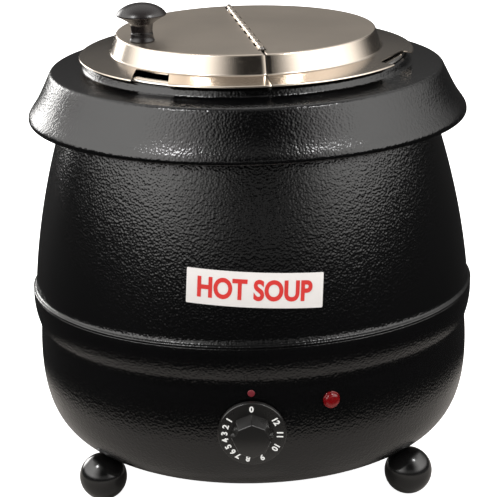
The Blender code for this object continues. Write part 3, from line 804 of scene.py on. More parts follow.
def hand_over(piece: bpy.types.Object, body: Body, finish: Finish, nodes: Sequence[str] = (),
              crease: float = 40.0) -> bpy.types.Object:
    """Gives a new piece its finish and its place in the model.

    Args:
        piece: The finished mesh.
        body: The body that it rides on.
        finish: Its finish.
        nodes: The CAD nodes that it stands for.
        crease: The least angle, in degrees, of an edge that stays sharp.

    Returns:
        The same piece.
    """
    piece.data.materials.clear()
    piece.data.materials.append(finish.material())
    piece.data.shade_smooth()
    piece.data.set_sharp_from_angle(angle=radians(crease))
    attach(piece, body.value)
    if nodes:
        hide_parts(*nodes)
    LOG.info("%s rides on %s, %d faces", piece.name, body.value, len(piece.data.polygons))
    return piece


# ---------------------------------------------------------------- body
@dataclass(frozen=True)
class Wall:
    """A body wall, as a cubic curve of (radius, height) points, top to bottom."""

    points: tuple[Point, Point, Point, Point]

    def radius(self, height: float) -> float:
        """The wall's radius at a height."""
        line = cubic(self.points, count=240)
        above, below = next(pair for pair in zip(line, line[1:]) if pair[1][1] <= height)
        share = (above[1] - height) / (above[1] - below[1])
        return above[0] + (below[0] - above[0]) * share

    def site(self, azimuth: float, height: float) -> Matrix:
        """A frame on the wall, its Z straight out of it and its Y up it.

        Args:
            azimuth: Where round the wall, in degrees.
            height: How high up.

        Returns:
            The frame's matrix.
        """
        step = 0.0005
        over, under = self.radius(height + step), self.radius(height - step)
        up = Vector((over - under, 2 * step)).normalized()
        a = radians(azimuth)
        radial = Vector((sin(a), -cos(a), 0))
        z_axis = radial * up.y + Vector((0, 0, -up.x))
        y_axis = radial * up.x + Vector((0, 0, up.y))
        matrix = Matrix((y_axis.cross(z_axis), y_axis, z_axis)).transposed().to_4x4()
        matrix.translation = around(azimuth, self.radius(height), height)
        return matrix

    def site_of(self, node: str) -> Matrix:
        """The frame on the wall under a CAD node's middle."""
        middle = middle_of(node)
        return self.site(degrees(atan2(middle.x, -middle.y)), middle.z)


WELL_SCREWS = tuple(f"well_screw_{number}" for number in (1, 2, 3))
PLATE_SCREWS = tuple(f"base_plate_screw_{number}" for number in (1, 2, 3))
UPPER_WALL = Wall(((0.1299, 0.3198), (0.1509, 0.2648), (0.1636, 0.2099), (0.1675, 0.1580)))
LOWER_WALL = Wall(((0.1646, 0.1328), (0.1720, 0.0515), (0.1455, 0.0383), (0.1141, 0.0301)))


@dataclass
class Casing:
    """The two painted shells, the seam between them, and the plate that closes the underside.

    Attributes:
        radius: The body's greatest radius, at the seam.
        seam: The seam's height.
        top: The height of the mouth's flange.
        mouth: The mouth's radius.
        tongue: (radius, top) of the lower shell's tongue inside the seam.
        flange: (radius, height) of the base flange.
        vents: How many slots the base plate has.
        vent: Length and width of a slot.
        vent_ring: The radius of the ring of slots.
        dial_hole: The radius of the thermostat's hole.
        lamp_hole: The radius of the lamp's hole.
        gland_hole: The radius of the gland's hole.
    """

    radius: float = field(default_factory=lambda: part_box("upper_shell")[1].x)
    seam: float = field(default_factory=lambda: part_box("upper_shell")[0].z)
    top: float = field(default_factory=lambda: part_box("upper_shell")[1].z)
    mouth: float = 0.1175
    tongue: Point = (0.1654, 0.1625)
    flange: Point = (0.0980, 0.0292)
    vents: int = 8
    vent: Point = (0.026, 0.006)
    vent_ring: float = 0.070
    dial_hole: float = 0.0051
    lamp_hole: float = 0.0048
    gland_hole: float = 0.0065

    def upper(self) -> bpy.types.Object:
        """The upper shell, with a rolled shoulder over the seam."""
        profile = rounded([(self.mouth, self.top, 0), (0.1290, self.top, 0.0012), (0.1307, 0.3178, 0)])
        profile += cubic(UPPER_WALL.points, start=0.015, count=44)
        profile += rounded([
            (0.1676, 0.1576, 0),
            (0.1684, self.seam + 0.0020, 0.0006),
            (self.radius, self.seam + 0.0014, 0.0009),
            (self.radius, self.seam, 0),
        ])[1:]
        shell = thicken(spun("painted_upper_shell", profile), SHEET)
        low, high = self.top - THROUGH, self.top + THROUGH
        holes = [hole_at(node, SCREW_HOLE_R, low, high) for node in WELL_SCREWS]
        return soften(carve(shell, holes), 0.0003, 62)

    def lower(self) -> bpy.types.Object:
        """The lower shell: tongue, rounded band, bowl and base flange."""
        edge = self.seam - GAP
        profile = rounded([
            (*self.tongue, 0),
            (self.tongue[0], edge + 0.0003, 0.0008),
            (self.radius - 0.0004, edge, 0.0009),
            (self.radius - 0.0001, 0.1485, 0.0060),
            (self.radius - 0.0013, 0.1385, 0.0060),
            (0.1659, 0.1296, 0.0012),
            (0.1652, 0.1240, 0),
        ])
        profile += cubic(LOWER_WALL.points, start=0.055, count=48)
        profile += rounded([(0.1141, 0.0301, 0), (0.1085, self.flange[1], 0.003), (*self.flange, 0)])[1:]
        shell = thicken(spun("painted_lower_shell", profile), SHEET)
        holes = (
            (self.dial_hole, Controls().site),
            (self.lamp_hole, LOWER_WALL.site_of("pilot_lamp_lens")),
            (self.gland_hole, LOWER_WALL.site_of("cord_gland")),
        )
        tools = [moved(rod(radius, -THROUGH, THROUGH, 32), site) for radius, site in holes]
        tools += [moved(rod(STUD_BORE_R, -THROUGH, 0.002, 20), foot.site()) for foot in Feet.all()]
        return soften(carve(shell, tools), 0.0003, 62)

    def plate(self) -> bpy.types.Object:
        """The vented plate under the base."""
        low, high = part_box("base_plate")
        length, width = self.vent
        plate = add_piece("painted_base_plate", rod(high.x, low.z, high.z, STEPS, ease=0.0003))
        tools = []
        for index in range(self.vents):
            azimuth = 360 * index / self.vents
            slot = block((-width / 2, -length / 2, -THROUGH), (width / 2, length / 2, THROUGH))
            ease_edges(slot, edges_by_rise(slot, THROUGH), width * 0.49, 8)
            turn = Matrix.Rotation(radians(azimuth), 4, "Z")
            tools.append(moved(slot, Matrix.Translation(around(azimuth, self.vent_ring, high.z)) @ turn))
        tools += [hole_at(node, SCREW_HOLE_R, low.z - THROUGH, high.z + THROUGH) for node in PLATE_SCREWS]
        return soften(carve(plate, tools), 0.0002, 50)

    def build(self) -> None:
        """Makes and dresses the casing."""
        hand_over(self.upper(), Body.KETTLE, Finishes.PAINT, ["upper_shell"])
        hand_over(self.lower(), Body.KETTLE, Finishes.PAINT, ["lower_shell"])
        hand_over(self.plate(), Body.KETTLE, Finishes.PAINT, ["base_plate"])


@dataclass(frozen=True)
class Feet:
    """One ball foot, on a stud square to the bowl.

    Attributes:
        node: Its CAD node.
        azimuth: Where it stands, in degrees.
        radius: The ball's radius.
        along: Where on the bowl's curve it touches, as a share of the curve's parameter.
        bore: How deep its stud goes in.
    """

    node: str
    azimuth: float
    radius: float = 0.0182
    along: float = 0.84
    bore: float = 0.0135

    @classmethod
    def all(cls) -> list[Feet]:
        """The three feet."""
        places = {"front_left": -60.0, "front_right": 60.0, "rear": 180.0}
        return [cls(f"ball_foot_{name}", azimuth) for name, azimuth in places.items()]

    def site(self) -> Matrix:
        """The frame on the bowl that the foot hangs from."""
        height = cubic(LOWER_WALL.points, self.along, 1.0, 1)[0][1]
        return LOWER_WALL.site(self.azimuth, height)

    def build(self) -> None:
        """Makes a ball with a stud bore and a flat to stand on."""
        site = self.site()
        bm = bmesh.new()
        bmesh.ops.create_uvsphere(bm, u_segments=64, v_segments=32, radius=self.radius)
        moved(bm, site @ Matrix.Translation((0, 0, self.radius + GAP)))
        cut = bmesh.ops.bisect_plane(bm, geom=[*bm.verts, *bm.edges, *bm.faces], plane_co=(0, 0, 0),
                                     plane_no=(0, 0, -1), clear_outer=True)
        rim = [item for item in cut["geom_cut"] if isinstance(item, bmesh.types.BMEdge)]
        bmesh.ops.contextual_create(bm, geom=rim)
        ball = add_piece(f"moulded_{self.node}", bm)
        carve(ball, [moved(rod(STUD_BORE_R, -THROUGH, self.bore, 24), site)])
        hand_over(soften(ball, 0.0004, 30, 3), Body.KETTLE, Finishes.PLASTIC, [self.node], crease=60)


@dataclass(frozen=True)
class Screws:
    """A set of pan-head screws with crossed recesses.

    Attributes:
        nodes: Their CAD nodes.
        body: The body that they ride on.
        head: (radius, thickness) of a head.
        shank: (radius, length) of a shank.
        down: Whether the heads point down.
    """

    nodes: tuple[str, ...]
    body: Body
    head: Point
    shank: Point
    down: bool = False

    def screw(self, node: str) -> bpy.types.Object:
        """One screw, where its node is."""
        head_r, head_t = self.head
        shank_r, length = self.shank
        profile = rounded([
            (0, head_t, 0),
            (head_r * 0.72, head_t, head_t * 0.4),
            (head_r, head_t * 0.35, head_t * 0.3),
            (head_r, 0, 0),
            (shank_r, 0, 0),
            (shank_r, -length + shank_r * 0.6, 0),
            (shank_r * 0.4, -length, 0),
            (0, -length, 0),
        ])
        piece = spun(f"made_{node}", profile, 32)
        arm, slim = head_r * 0.62, head_r * 0.12
        deep = head_t * 0.45
        cross = [
            block((-arm, -slim, deep), (arm, slim, head_t * 2)),
            block((-slim, -arm, deep), (slim, arm, head_t * 2)),
        ]
        carve(piece, cross)
        low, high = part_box(node)
        place = middle_of(node)
        place.z = low.z + head_t if self.down else high.z - head_t
        turn = Matrix.Rotation(pi, 4, "X") if self.down else Matrix.Identity(4)
        return shift(piece, Matrix.Translation(place) @ turn)

    def build(self) -> None:
        """Makes every screw of the set."""
        for node in self.nodes:
            hand_over(self.screw(node), self.body, Finishes.ZINC, [node], crease=35)


# ---------------------------------------------------------------- controls
@dataclass
class Controls:
    """The thermostat dial, the index mark and the pilot lamp on the bowl's front.

    Attributes:
        skirt: The dial skirt's radius.
        skirt_top: How far the skirt's face stands out of the wall.
        hub: The hub's radius at its corners, at its foot and at its face.
        proud: How far the hub stands out.
        numeral: (height, ring radius) of the figures.
        angles: Where each figure from 0 up is, in degrees counter-clockwise from the top.
        recess: (radius, depth) of the recess over the thermostat's nut.
        bore: (radius, depth) of the shaft's bore.
    """

    skirt: float = 0.0250
    skirt_top: float = 0.0042
    hub: Point = (0.0165, 0.0132)
    proud: float = 0.0160
    numeral: Point = (0.0047, 0.0199)
    angles: tuple[float, ...] = (0, 54, 71, 87, 103, 119, 134, 148, 170, 200, 236, 268, 299)
    recess: Point = (0.0092, 0.0043)
    bore: Point = (0.0033, 0.0108)

    @property
    def site(self) -> Matrix:
        """The dial's frame: Z along its axle, out of the wall, and Y up the wall."""
        return joint_frame("dial_turn", Vector((1, 0, 0)))

    def dial(self) -> bpy.types.Object:
        """A skirted dial with an eight-sided grip."""
        top = self.skirt_top
        profile = rounded([
            (0, top, 0),
            (self.skirt - 0.0006, top, 0.0006),
            (self.skirt - 0.0001, top - 0.0012, 0.0008),
            (self.skirt, 0.0008, 0.0003),
            (self.skirt - 0.0008, 0.0008, 0.0003),
            (0, 0.0008, 0),
        ], 6)
        piece = spun("moulded_dial", profile, 128)
        foot, face = self.hub
        hub = rod(foot, top - 0.001, self.proud, 8, face)
        sharp = [edge for edge in hub.edges if max(vert.co.z for vert in edge.verts) > top]
        ease_edges(hub, sharp, 0.0007, 4)
        carve(piece, [hub], Cut.JOIN)
        carve(piece, [rod(self.recess[0], -THROUGH, self.recess[1], 40)])
        carve(piece, [rod(self.bore[0], 0.0, self.bore[1], 32)])
        return shift(piece, self.site)

    def figures(self) -> bpy.types.Object:
        """The white figures on the skirt, their tops outwards."""
        whole = bmesh.new()
        height, ring = self.numeral
        for number, angle in enumerate(self.angles):
            bm = lettering(str(number), height, 0.00012, 0.035)
            outwards = Matrix.Translation((0, ring, self.skirt_top - 0.00004))
            moved(bm, Matrix.Rotation(radians(angle), 4, "Z") @ outwards)
            mesh = bpy.data.meshes.new("figure")
            bm.to_mesh(mesh)
            bm.free()
            whole.from_mesh(mesh)
            bpy.data.meshes.remove(mesh)
        return shift(add_piece("dial_figures", whole), self.site)

    def lens(self) -> bpy.types.Object:
        """The lamp's domed red lens with its bead."""
        radius, proud = 0.00635, 0.0042
        dome = ((0, proud), (radius * 0.45, proud), (radius * 0.78, proud * 0.86), (radius * 0.84, 0.0021))
        profile = cubic(dome, count=12)
        profile += rounded([
            (radius * 0.85, 0.0019, 0),
            (radius, 0.0017, 0.0006),
            (radius, GAP, 0.0002),
            (0, GAP, 0),
        ])
        return shift(spun("lamp_lens", profile, 64), LOWER_WALL.site_of("pilot_lamp_lens"))

    def mark(self) -> bpy.types.Object:
        """The red index mark, a drop of enamel over the dial."""
        radius = 0.0026
        profile = cubic(((0, 0.0009), (radius * 0.6, 0.0009), (radius, 0.0007), (radius, GAP)), count=8)
        return shift(spun("enamel_mark", profile + [(0, GAP)], 40), LOWER_WALL.site_of("index_mark"))

    def build(self) -> None:
        """Makes and dresses the controls."""
        hand_over(self.dial(), Body.DIAL, Finishes.DIAL, ["control_dial"], crease=35)
        hand_over(self.figures(), Body.DIAL, Finishes.WHITE, crease=30)
        hand_over(self.lens(), Body.KETTLE, Finishes.LENS, ["pilot_lamp_lens"])
        hand_over(self.mark(), Body.KETTLE, Finishes.MARK, ["index_mark"])


@dataclass
class MenuStrip:
    """The white magnetic strip on the upper wall, with its wording.

    Attributes:
        azimuth: Where its middle is, in degrees.
        height: How high its middle is.
        size: Its length and height.
        thick: Its thickness.
        tilt: How far it is askew, in degrees.
        words: The wording.
        letters: (length, height) of the wording.
        pitch: How far apart it is cut across, so that it can bend.
    """

    azimuth: float = 1.6
    height: float = field(default_factory=lambda: sum(corner.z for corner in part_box("menu_label")) / 2)
    size: Point = (0.0975, 0.0248)
    thick: float = 0.0008
    tilt: float = -3.9
    words: str = "HOT SOUP"
    letters: Point = (0.0815, 0.0150)
    pitch: float = 0.0025

    def bend(self, bm: bmesh.types.BMesh, lift: float) -> bmesh.types.BMesh:
        """Wraps a flat shape onto the wall.

        Args:
            bm: The shape, flat in XY, its Z away from the wall.
            lift: How far its Z 0 lies off the wall.

        Returns:
            The same shape.
        """
        turn = Matrix.Rotation(radians(self.tilt), 2)
        for vert in bm.verts:
            along, up = turn @ vert.co.xy
            radius = UPPER_WALL.radius(self.height + up)
            azimuth = self.azimuth + degrees(along / radius)
            vert.co = around(azimuth, radius + lift + vert.co.z, self.height + up)
        bmesh.ops.recalc_face_normals(bm, faces=bm.faces)
        return bm

    def sliced(self, bm: bmesh.types.BMesh, pitch: float) -> bmesh.types.BMesh:
        """The same shape, cut across its length so that it can bend."""
        count = int(self.size[0] / 2 / pitch)
        for index in range(-count, count + 1):
            whole = [*bm.verts, *bm.edges, *bm.faces]
            bmesh.ops.bisect_plane(bm, geom=whole, plane_co=(index * pitch, 0, 0), plane_no=(1, 0, 0))
        return bm

    def strip(self) -> bpy.types.Object:
        """The strip itself, its corners clipped round."""
        wide, tall = self.size
        bm = block((-wide / 2, -tall / 2, 0), (wide / 2, tall / 2, self.thick))
        ease_edges(bm, edges_by_rise(bm, self.thick / 2), 0.0008)
        rims = [edge for edge in edges_by_rise(bm, -1.0, WELD) if edge.calc_face_angle(0.0) > 1.0]
        ease_edges(bm, rims, 0.00018, 2)
        return add_piece("menu_strip", self.bend(self.sliced(bm, self.pitch), GAP))

    def wording(self) -> bpy.types.Object:
        """The raised print on the strip."""
        wide, tall = self.letters
        bm = lettering(self.words, tall, 0.00016, 0.034, wide)
        lift = GAP + self.thick - 0.00006
        return add_piece("menu_wording", self.bend(self.sliced(bm, self.pitch), lift))

    def build(self) -> None:
        """Makes and dresses the strip."""
        hand_over(self.strip(), Body.KETTLE, Finishes.MAGNET, ["menu_label"], crease=30)
        hand_over(self.wording(), Body.KETTLE, Finishes.INK, crease=30)


@dataclass
class CableGland:
    """The cable gland low on the back.

    Attributes:
        flange: The flange's radius.
        bore: The bore's radius.
        thread: The threaded stem's radius.
        grips: How many flutes its cap has.
        cap: How far its cap stands out.
    """

    flange: float = 0.0090
    bore: float = 0.0036
    thread: float = 0.0062
    grips: int = 8
    cap: float = 0.0130

    def build(self) -> None:
        """Makes a fluted gland with an open bore."""
        profile = rounded([
            (self.bore, self.cap - 0.0006, 0),
            (self.bore + 0.0006, self.cap, 0.0003),
            (0.0062, self.cap, 0.0008),
            (0.0070, 0.0055, 0.0006),
            (self.flange, 0.0046, 0.0008),
            (self.flange, GAP, 0.0002),
            (self.thread, GAP, 0),
            (self.thread, -0.009, 0.0005),
            (self.bore, -0.009, 0),
            (self.bore, self.cap - 0.0006, 0),
        ])
        piece = spun("moulded_gland", profile, 64)
        tools = []
        for index in range(self.grips):
            flute = rod(0.0011, 0.0060, 0.0150, 16)
            tools.append(moved(flute, Matrix.Translation(around(360 * index / self.grips, 0.0074))))
        carve(piece, tools)
        shift(piece, LOWER_WALL.site_of("cord_gland"))
        hand_over(piece, Body.KETTLE, Finishes.PLASTIC, ["cord_gland"], crease=35)


# ---------------------------------------------------------------- lift-off pieces
@dataclass
class Collar:
    """The broad painted hood over the mouth.

    Attributes:
        foot: The height of its lower edge.
        top: The height of its neck.
        throat: The radius of its throat.
    """

    foot: float = field(default_factory=lambda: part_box("collar_ring")[0].z)
    top: float = field(default_factory=lambda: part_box("collar_ring")[1].z)
    throat: float = 0.1120

    def build(self) -> None:
        """Makes the hood from its throat out to its rolled foot."""
        profile = rounded([
            (self.throat, 0.3000, 0),
            (self.throat, self.top, 0.0016),
            (0.1216, self.top, 0.0016),
            (0.1238, 0.3252, 0.0024),
            (0.1486, 0.3237, 0.0026),
            (0.1590, 0.3018, 0.0110),
            (0.1664, 0.2915, 0.0040),
            (0.1667, 0.2884, 0.0014),
            (0.1656, self.foot, 0.0012),
            (0.1622, self.foot + 0.0004, 0),
        ], 8)
        piece = soften(thicken(spun("painted_collar", profile), SHEET), 0.0003, 62)
        hand_over(piece, Body.COLLAR, Finishes.PAINT, ["collar_ring"])


@dataclass
class Vessels:
    """The pot and the water well that it hangs in.

    Attributes:
        pot: (radius, corner radius, sheet) of the pot.
        well: (radius, corner radius, sheet) of the well.
    """

    pot: Corner = (0.1095, 0.018, 0.0009)
    well: Corner = (0.1158, 0.012, 0.0008)

    def vessel(self, name: str, node: str, sizes: Corner, rim: Sequence[Corner]) -> bpy.types.Object:
        """A spun vessel.

        Args:
            name: Its name.
            node: Its CAD node, which gives its lowest point.
            sizes: Its radius, corner radius and sheet.
            rim: The outline of its rim, down to its wall.

        Returns:
            The vessel.
        """
        radius, corner, sheet = sizes
        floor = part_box(node)[0].z
        outline = [*rim, (radius, floor, corner * 1.35), (0, floor, 0)]
        return soften(thicken(spun(name, rounded(outline, 10)), sheet), 0.00025, 62)

    def build(self) -> None:
        """Makes and dresses both vessels."""
        rim_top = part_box("soup_pot")[1].z - self.pot[2]
        rim_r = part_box("soup_pot")[1].x
        rim = [(rim_r - 0.0002, rim_top - 0.0010, 0), (rim_r - 0.0006, rim_top, 0.0008),
               (self.pot[0] + 0.0004, rim_top, 0.0016)]
        pot = self.vessel("drawn_pot", "soup_pot", self.pot, rim)
        hand_over(pot, Body.POT, Finishes.BRIGHT, ["soup_pot"])

        flange_r, flange_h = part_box("water_well")[1].x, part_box("water_well")[1].z - self.well[2]
        rim = [(flange_r, flange_h, 0), (self.well[0] + 0.0003, flange_h, 0.0012)]
        well = self.vessel("drawn_well", "water_well", self.well, rim)
        low, high = flange_h - THROUGH, flange_h + THROUGH
        holes = [hole_at(node, SCREW_HOLE_R, low, high) for node in WELL_SCREWS]
        hand_over(carve(well, holes), Body.KETTLE, Finishes.SATIN, ["water_well"])


@dataclass
class Lid:
    """The pressed lid in two halves, its rolled hinge, notches, pin and knob.

    Attributes:
        sheet: Its sheet thickness.
        split: The width of the slit between the halves.
        span: Where the hinge starts and ends along its line.
        knuckles: How many knuckles it has.
        roll: A knuckle's radius.
        pin: The pin's radius.
        head: The radius of the pin's ball ends.
        margin: How far the lid is cut clear beyond the end knuckles.
        pocket: The clearance beside a knuckle of the other half.
    """

    sheet: float = 0.0008
    split: float = 0.0007
    span: Point = (-0.0795, 0.0885)
    knuckles: int = 14
    roll: float = 0.0019
    pin: float = 0.0010
    head: float = 0.0021
    margin: float = 0.0048
    pocket: float = 0.0012

    @property
    def hinge(self) -> Matrix:
        """The hinge's frame: its Y along the line, its X towards the fixed half."""
        return joint_frame("lid_flap_hinge")

    @property
    def top(self) -> float:
        """The height of the lid's flat over the hinge's axis."""
        return -GAP

    def half(self, side: Side, name: str) -> bpy.types.Object:
        """One half of the lid, in the hinge's frame.

        Args:
            side: Which half.
            name: Its name.

        Returns:
            The half, with its knuckles.
        """
        rise = self.hinge.translation.z
        rim_r = 0.1262
        profile = rounded([
            (0, self.top, 0),
            (0.0974, self.top, 0.0016),
            (0.1024, 0.3366 - rise, 0.0014),
            (rim_r - 0.0004, 0.3344 - rise, 0.0008),
            (rim_r, 0.3334 - rise, 0),
        ], 8)
        piece = spun(name, profile, STEPS // 2, 180.0)
        turn = Matrix.Rotation(-side.value * pi / 2, 4, "Z")
        shift(piece, Matrix.Translation((side.value * self.split / 2, 0, 0)) @ turn)
        thicken(piece, self.sheet)
        soften(piece, 0.0002, 62)
        room = self.roll + self.pocket
        near, far = sorted((-side.value * 0.002, side.value * room))
        start, end = self.span
        carve(piece, [block((near, start - self.margin, -0.004), (far, end + self.margin, 0.004))])
        carve(piece, self.rolls(side), Cut.JOIN)
        bore = moved(rod(self.pin + GAP, -0.12, 0.12, 24), Matrix.Rotation(pi / 2, 4, "X"))
        return carve(piece, [bore])

    def rolls(self, side: Side) -> list[bmesh.types.BMesh]:
        """The knuckles of one half, every second one along the line.

        Args:
            side: Which half.

        Returns:
            Each knuckle and the leaf that joins it to the lid.
        """
        start, end = self.span
        pitch = (end - start) / self.knuckles
        reach = pitch / 2 - GAP
        shapes = []
        for index in range(0 if side is Side.FLAP else 1, self.knuckles, 2):
            middle = start + pitch * (index + 0.5)
            roll = rod(self.roll, -reach, reach, 32, ease=0.00025)
            shapes.append(moved(roll, Matrix.Translation((0, middle, 0)) @ Matrix.Rotation(pi / 2, 4, "X")))
            near, far = sorted((side.value * 0.0012, side.value * 0.0050))
            low, high = self.top - 0.00065, self.top - 0.00015
            shapes.append(block((near, middle - reach, low), (far, middle + reach, high)))
        return shapes

    def round_inner_corners(self, bm: bmesh.types.BMesh, width: float) -> None:
        """Rounds a notch cutter's upright edges, apart from those outside the rim."""
        posts = [edge for edge in edges_by_rise(bm, THROUGH / 2) if edge.verts[0].co.y > -0.12]
        ease_edges(bm, posts, width, 4)

    def ladle_notch(self) -> bmesh.types.BMesh:
        """The cutter for the flap's notch, where a ladle's handle comes out."""
        left, right, inner = -0.0790, -0.0540, 0.1045
        outline = [(x, -sqrt(inner**2 - x * x)) for x in (right, (left + right) / 2, left)]
        outline += [(left - 0.006, -0.135), (right, -0.135)]
        low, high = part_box("lid_flap")[0].z - THROUGH, 0.3372
        bm = bmesh.new()
        face = bm.faces.new([bm.verts.new((x, y, low)) for x, y in outline])
        lifted = bmesh.ops.extrude_face_region(bm, geom=[face])["geom"]
        bmesh.ops.translate(bm, vec=(0, 0, high - low),
                            verts=[item for item in lifted if isinstance(item, bmesh.types.BMVert)])
        self.round_inner_corners(bm, 0.0022)
        return bm

    def side_notch(self) -> bmesh.types.BMesh:
        """The cutter for the fixed half's notch."""
        azimuth, inner, low_t, high_t = 65, 0.1135, -0.012, 0.033
        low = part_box("lid_fixed_half")[0].z - THROUGH
        bm = block((low_t, -0.135, low), (high_t, -inner, 0.3364))
        self.round_inner_corners(bm, 0.0018)
        return moved(bm, Matrix.Rotation(radians(azimuth), 4, "Z"))

    def pin_with_heads(self) -> bpy.types.Object:
        """The hinge's pin, with a ball at each end."""
        start, end = self.span[0] - GAP, self.span[1] + GAP
        head = self.head
        ball = [(head * sin(radians(a)), head * (1 - cos(radians(a)))) for a in range(0, 150, 10)]
        far = 2 * head * 0.95
        profile = [(r, end + far - h) for r, h in ball]
        profile += [(self.pin, end), (self.pin, start)]
        profile += [(r, start - far + h) for r, h in reversed(ball)]
        piece = spun("hinge_pin_with_heads", profile, 32)
        return shift(piece, self.hinge @ Matrix.Rotation(-pi / 2, 4, "X"))

    @property
    def knob_seat(self) -> Matrix:
        """Where the knob's foot stands."""
        low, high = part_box("lid_knob")
        return Matrix.Translation(((low.x + high.x) / 2, (low.y + high.y) / 2, low.z))

    def knob(self) -> bpy.types.Object:
        """The mushroom knob: a lens-shaped head, a cone under it and a waisted neck."""
        low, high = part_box("lid_knob")
        radius, tall = (high.x - low.x) / 2, high.z - low.z
        neck = 0.0082
        profile = cubic(((0, tall), (radius * 0.52, tall), (radius * 0.88, tall - 0.0042),
                         (radius - 0.0002, tall - 0.0078)), count=16)
        profile += rounded([
            (radius, tall - 0.0081, 0),
            (radius - 0.0002, tall - 0.0090, 0.0003),
            (radius * 0.64, tall - 0.0126, 0.0030),
            (neck * 1.02, tall - 0.0152, 0.0018),
            (neck * 0.96, 0.0072, 0.0020),
            (neck * 0.99, 0.0064, 0.0002),
            (neck * 0.94, 0.0061, 0.0002),
            (neck * 1.00, 0.0057, 0.0002),
            (neck * 1.03, 0.0028, 0.0016),
            (neck * 1.14, 0.0005, 0.0005),
            (neck * 1.14, 0, 0),
            (0, 0, 0),
        ], 6)
        piece = spun("turned_knob", profile, 96)
        carve(piece, [rod(KNOB_BORE_R, -THROUGH, 0.012, 24)])
        return shift(piece, self.knob_seat)

    def build(self) -> None:
        """Makes and dresses the lid."""
        flap = shift(self.half(Side.FLAP, "pressed_lid_flap"), self.hinge)
        knob_hole = moved(rod(KNOB_BORE_R, -THROUGH, THROUGH, 24), self.knob_seat)
        carve(flap, [self.ladle_notch(), knob_hole])
        fixed = shift(self.half(Side.FIXED, "pressed_lid_half"), self.hinge)
        carve(fixed, [self.side_notch()])
        hand_over(flap, Body.FLAP, Finishes.SATIN, ["lid_flap"], crease=32)
        hand_over(fixed, Body.LID, Finishes.SATIN, ["lid_fixed_half"], crease=32)
        hand_over(self.pin_with_heads(), Body.LID, Finishes.PIN, ["hinge_pin"])
        hand_over(self.knob(), Body.FLAP, Finishes.PHENOLIC, ["lid_knob"], crease=50)


@dataclass
class InnerWorks:
    """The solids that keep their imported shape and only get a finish."""

    finishes: dict[str, Finish] = field(default_factory=lambda: {
        "foot_stud_front_left": Finishes.ZINC,
        "foot_stud_front_right": Finishes.ZINC,
        "foot_stud_rear": Finishes.ZINC,
        "heating_element": Finishes.SHEATH,
        "heater_clamp_plate": Finishes.ALUMINIUM,
        "clamp_stud": Finishes.ZINC,
        "clamp_nut": Finishes.ZINC,
        "thermal_cutout": Finishes.PLASTIC,
        "thermostat_body": Finishes.IVORY,
        "thermostat_nut": Finishes.ZINC,
        "thermostat_shaft": Finishes.ZINC,
        "capillary_tube": Finishes.COPPER,
        "sensor_bulb": Finishes.COPPER,
        "bulb_clip": Finishes.ALUMINIUM,
        "pilot_lamp_body": Finishes.IVORY,
        "pilot_lamp_nut": Finishes.PLASTIC,
        "gland_nut": Finishes.PLASTIC,
        "terminal_block": Finishes.IVORY,
        "live_wire": Finishes.BROWN,
        "neutral_wire": Finishes.BLUE,
        "heater_wire": Finishes.BROWN,
    })

    def build(self) -> None:
        """Dresses each solid."""
        for name, finish in self.finishes.items():
            node = frame["nodes"][name]
            node.data.materials.clear()
            node.data.materials.append(finish.material())
            LOG.info("%s keeps its shape, in %s", name, finish.slot)


# ---------------------------------------------------------------- studio
@dataclass(frozen=True)
class Softbox:
    """A square light.

    Attributes:
        place: Where it is.
        size: Its width and height.
        power: Its power in watts.
    """

    place: tuple[float, float, float]
    size: Point
    power: float

    def build(self, name: str, target: Vector) -> None:
        """Hangs the light, facing a point."""
        light = bpy.data.lights.new(name, "AREA")
        light.shape = "RECTANGLE"
        light.size, light.size_y = self.size
        light.energy = self.power
        lamp = bpy.data.objects.new(name, light)
        lamp.location = self.place
        lamp.rotation_euler = (target - lamp.location).to_track_quat("-Z", "Y").to_euler()
        bpy.context.scene.collection.objects.link(lamp)


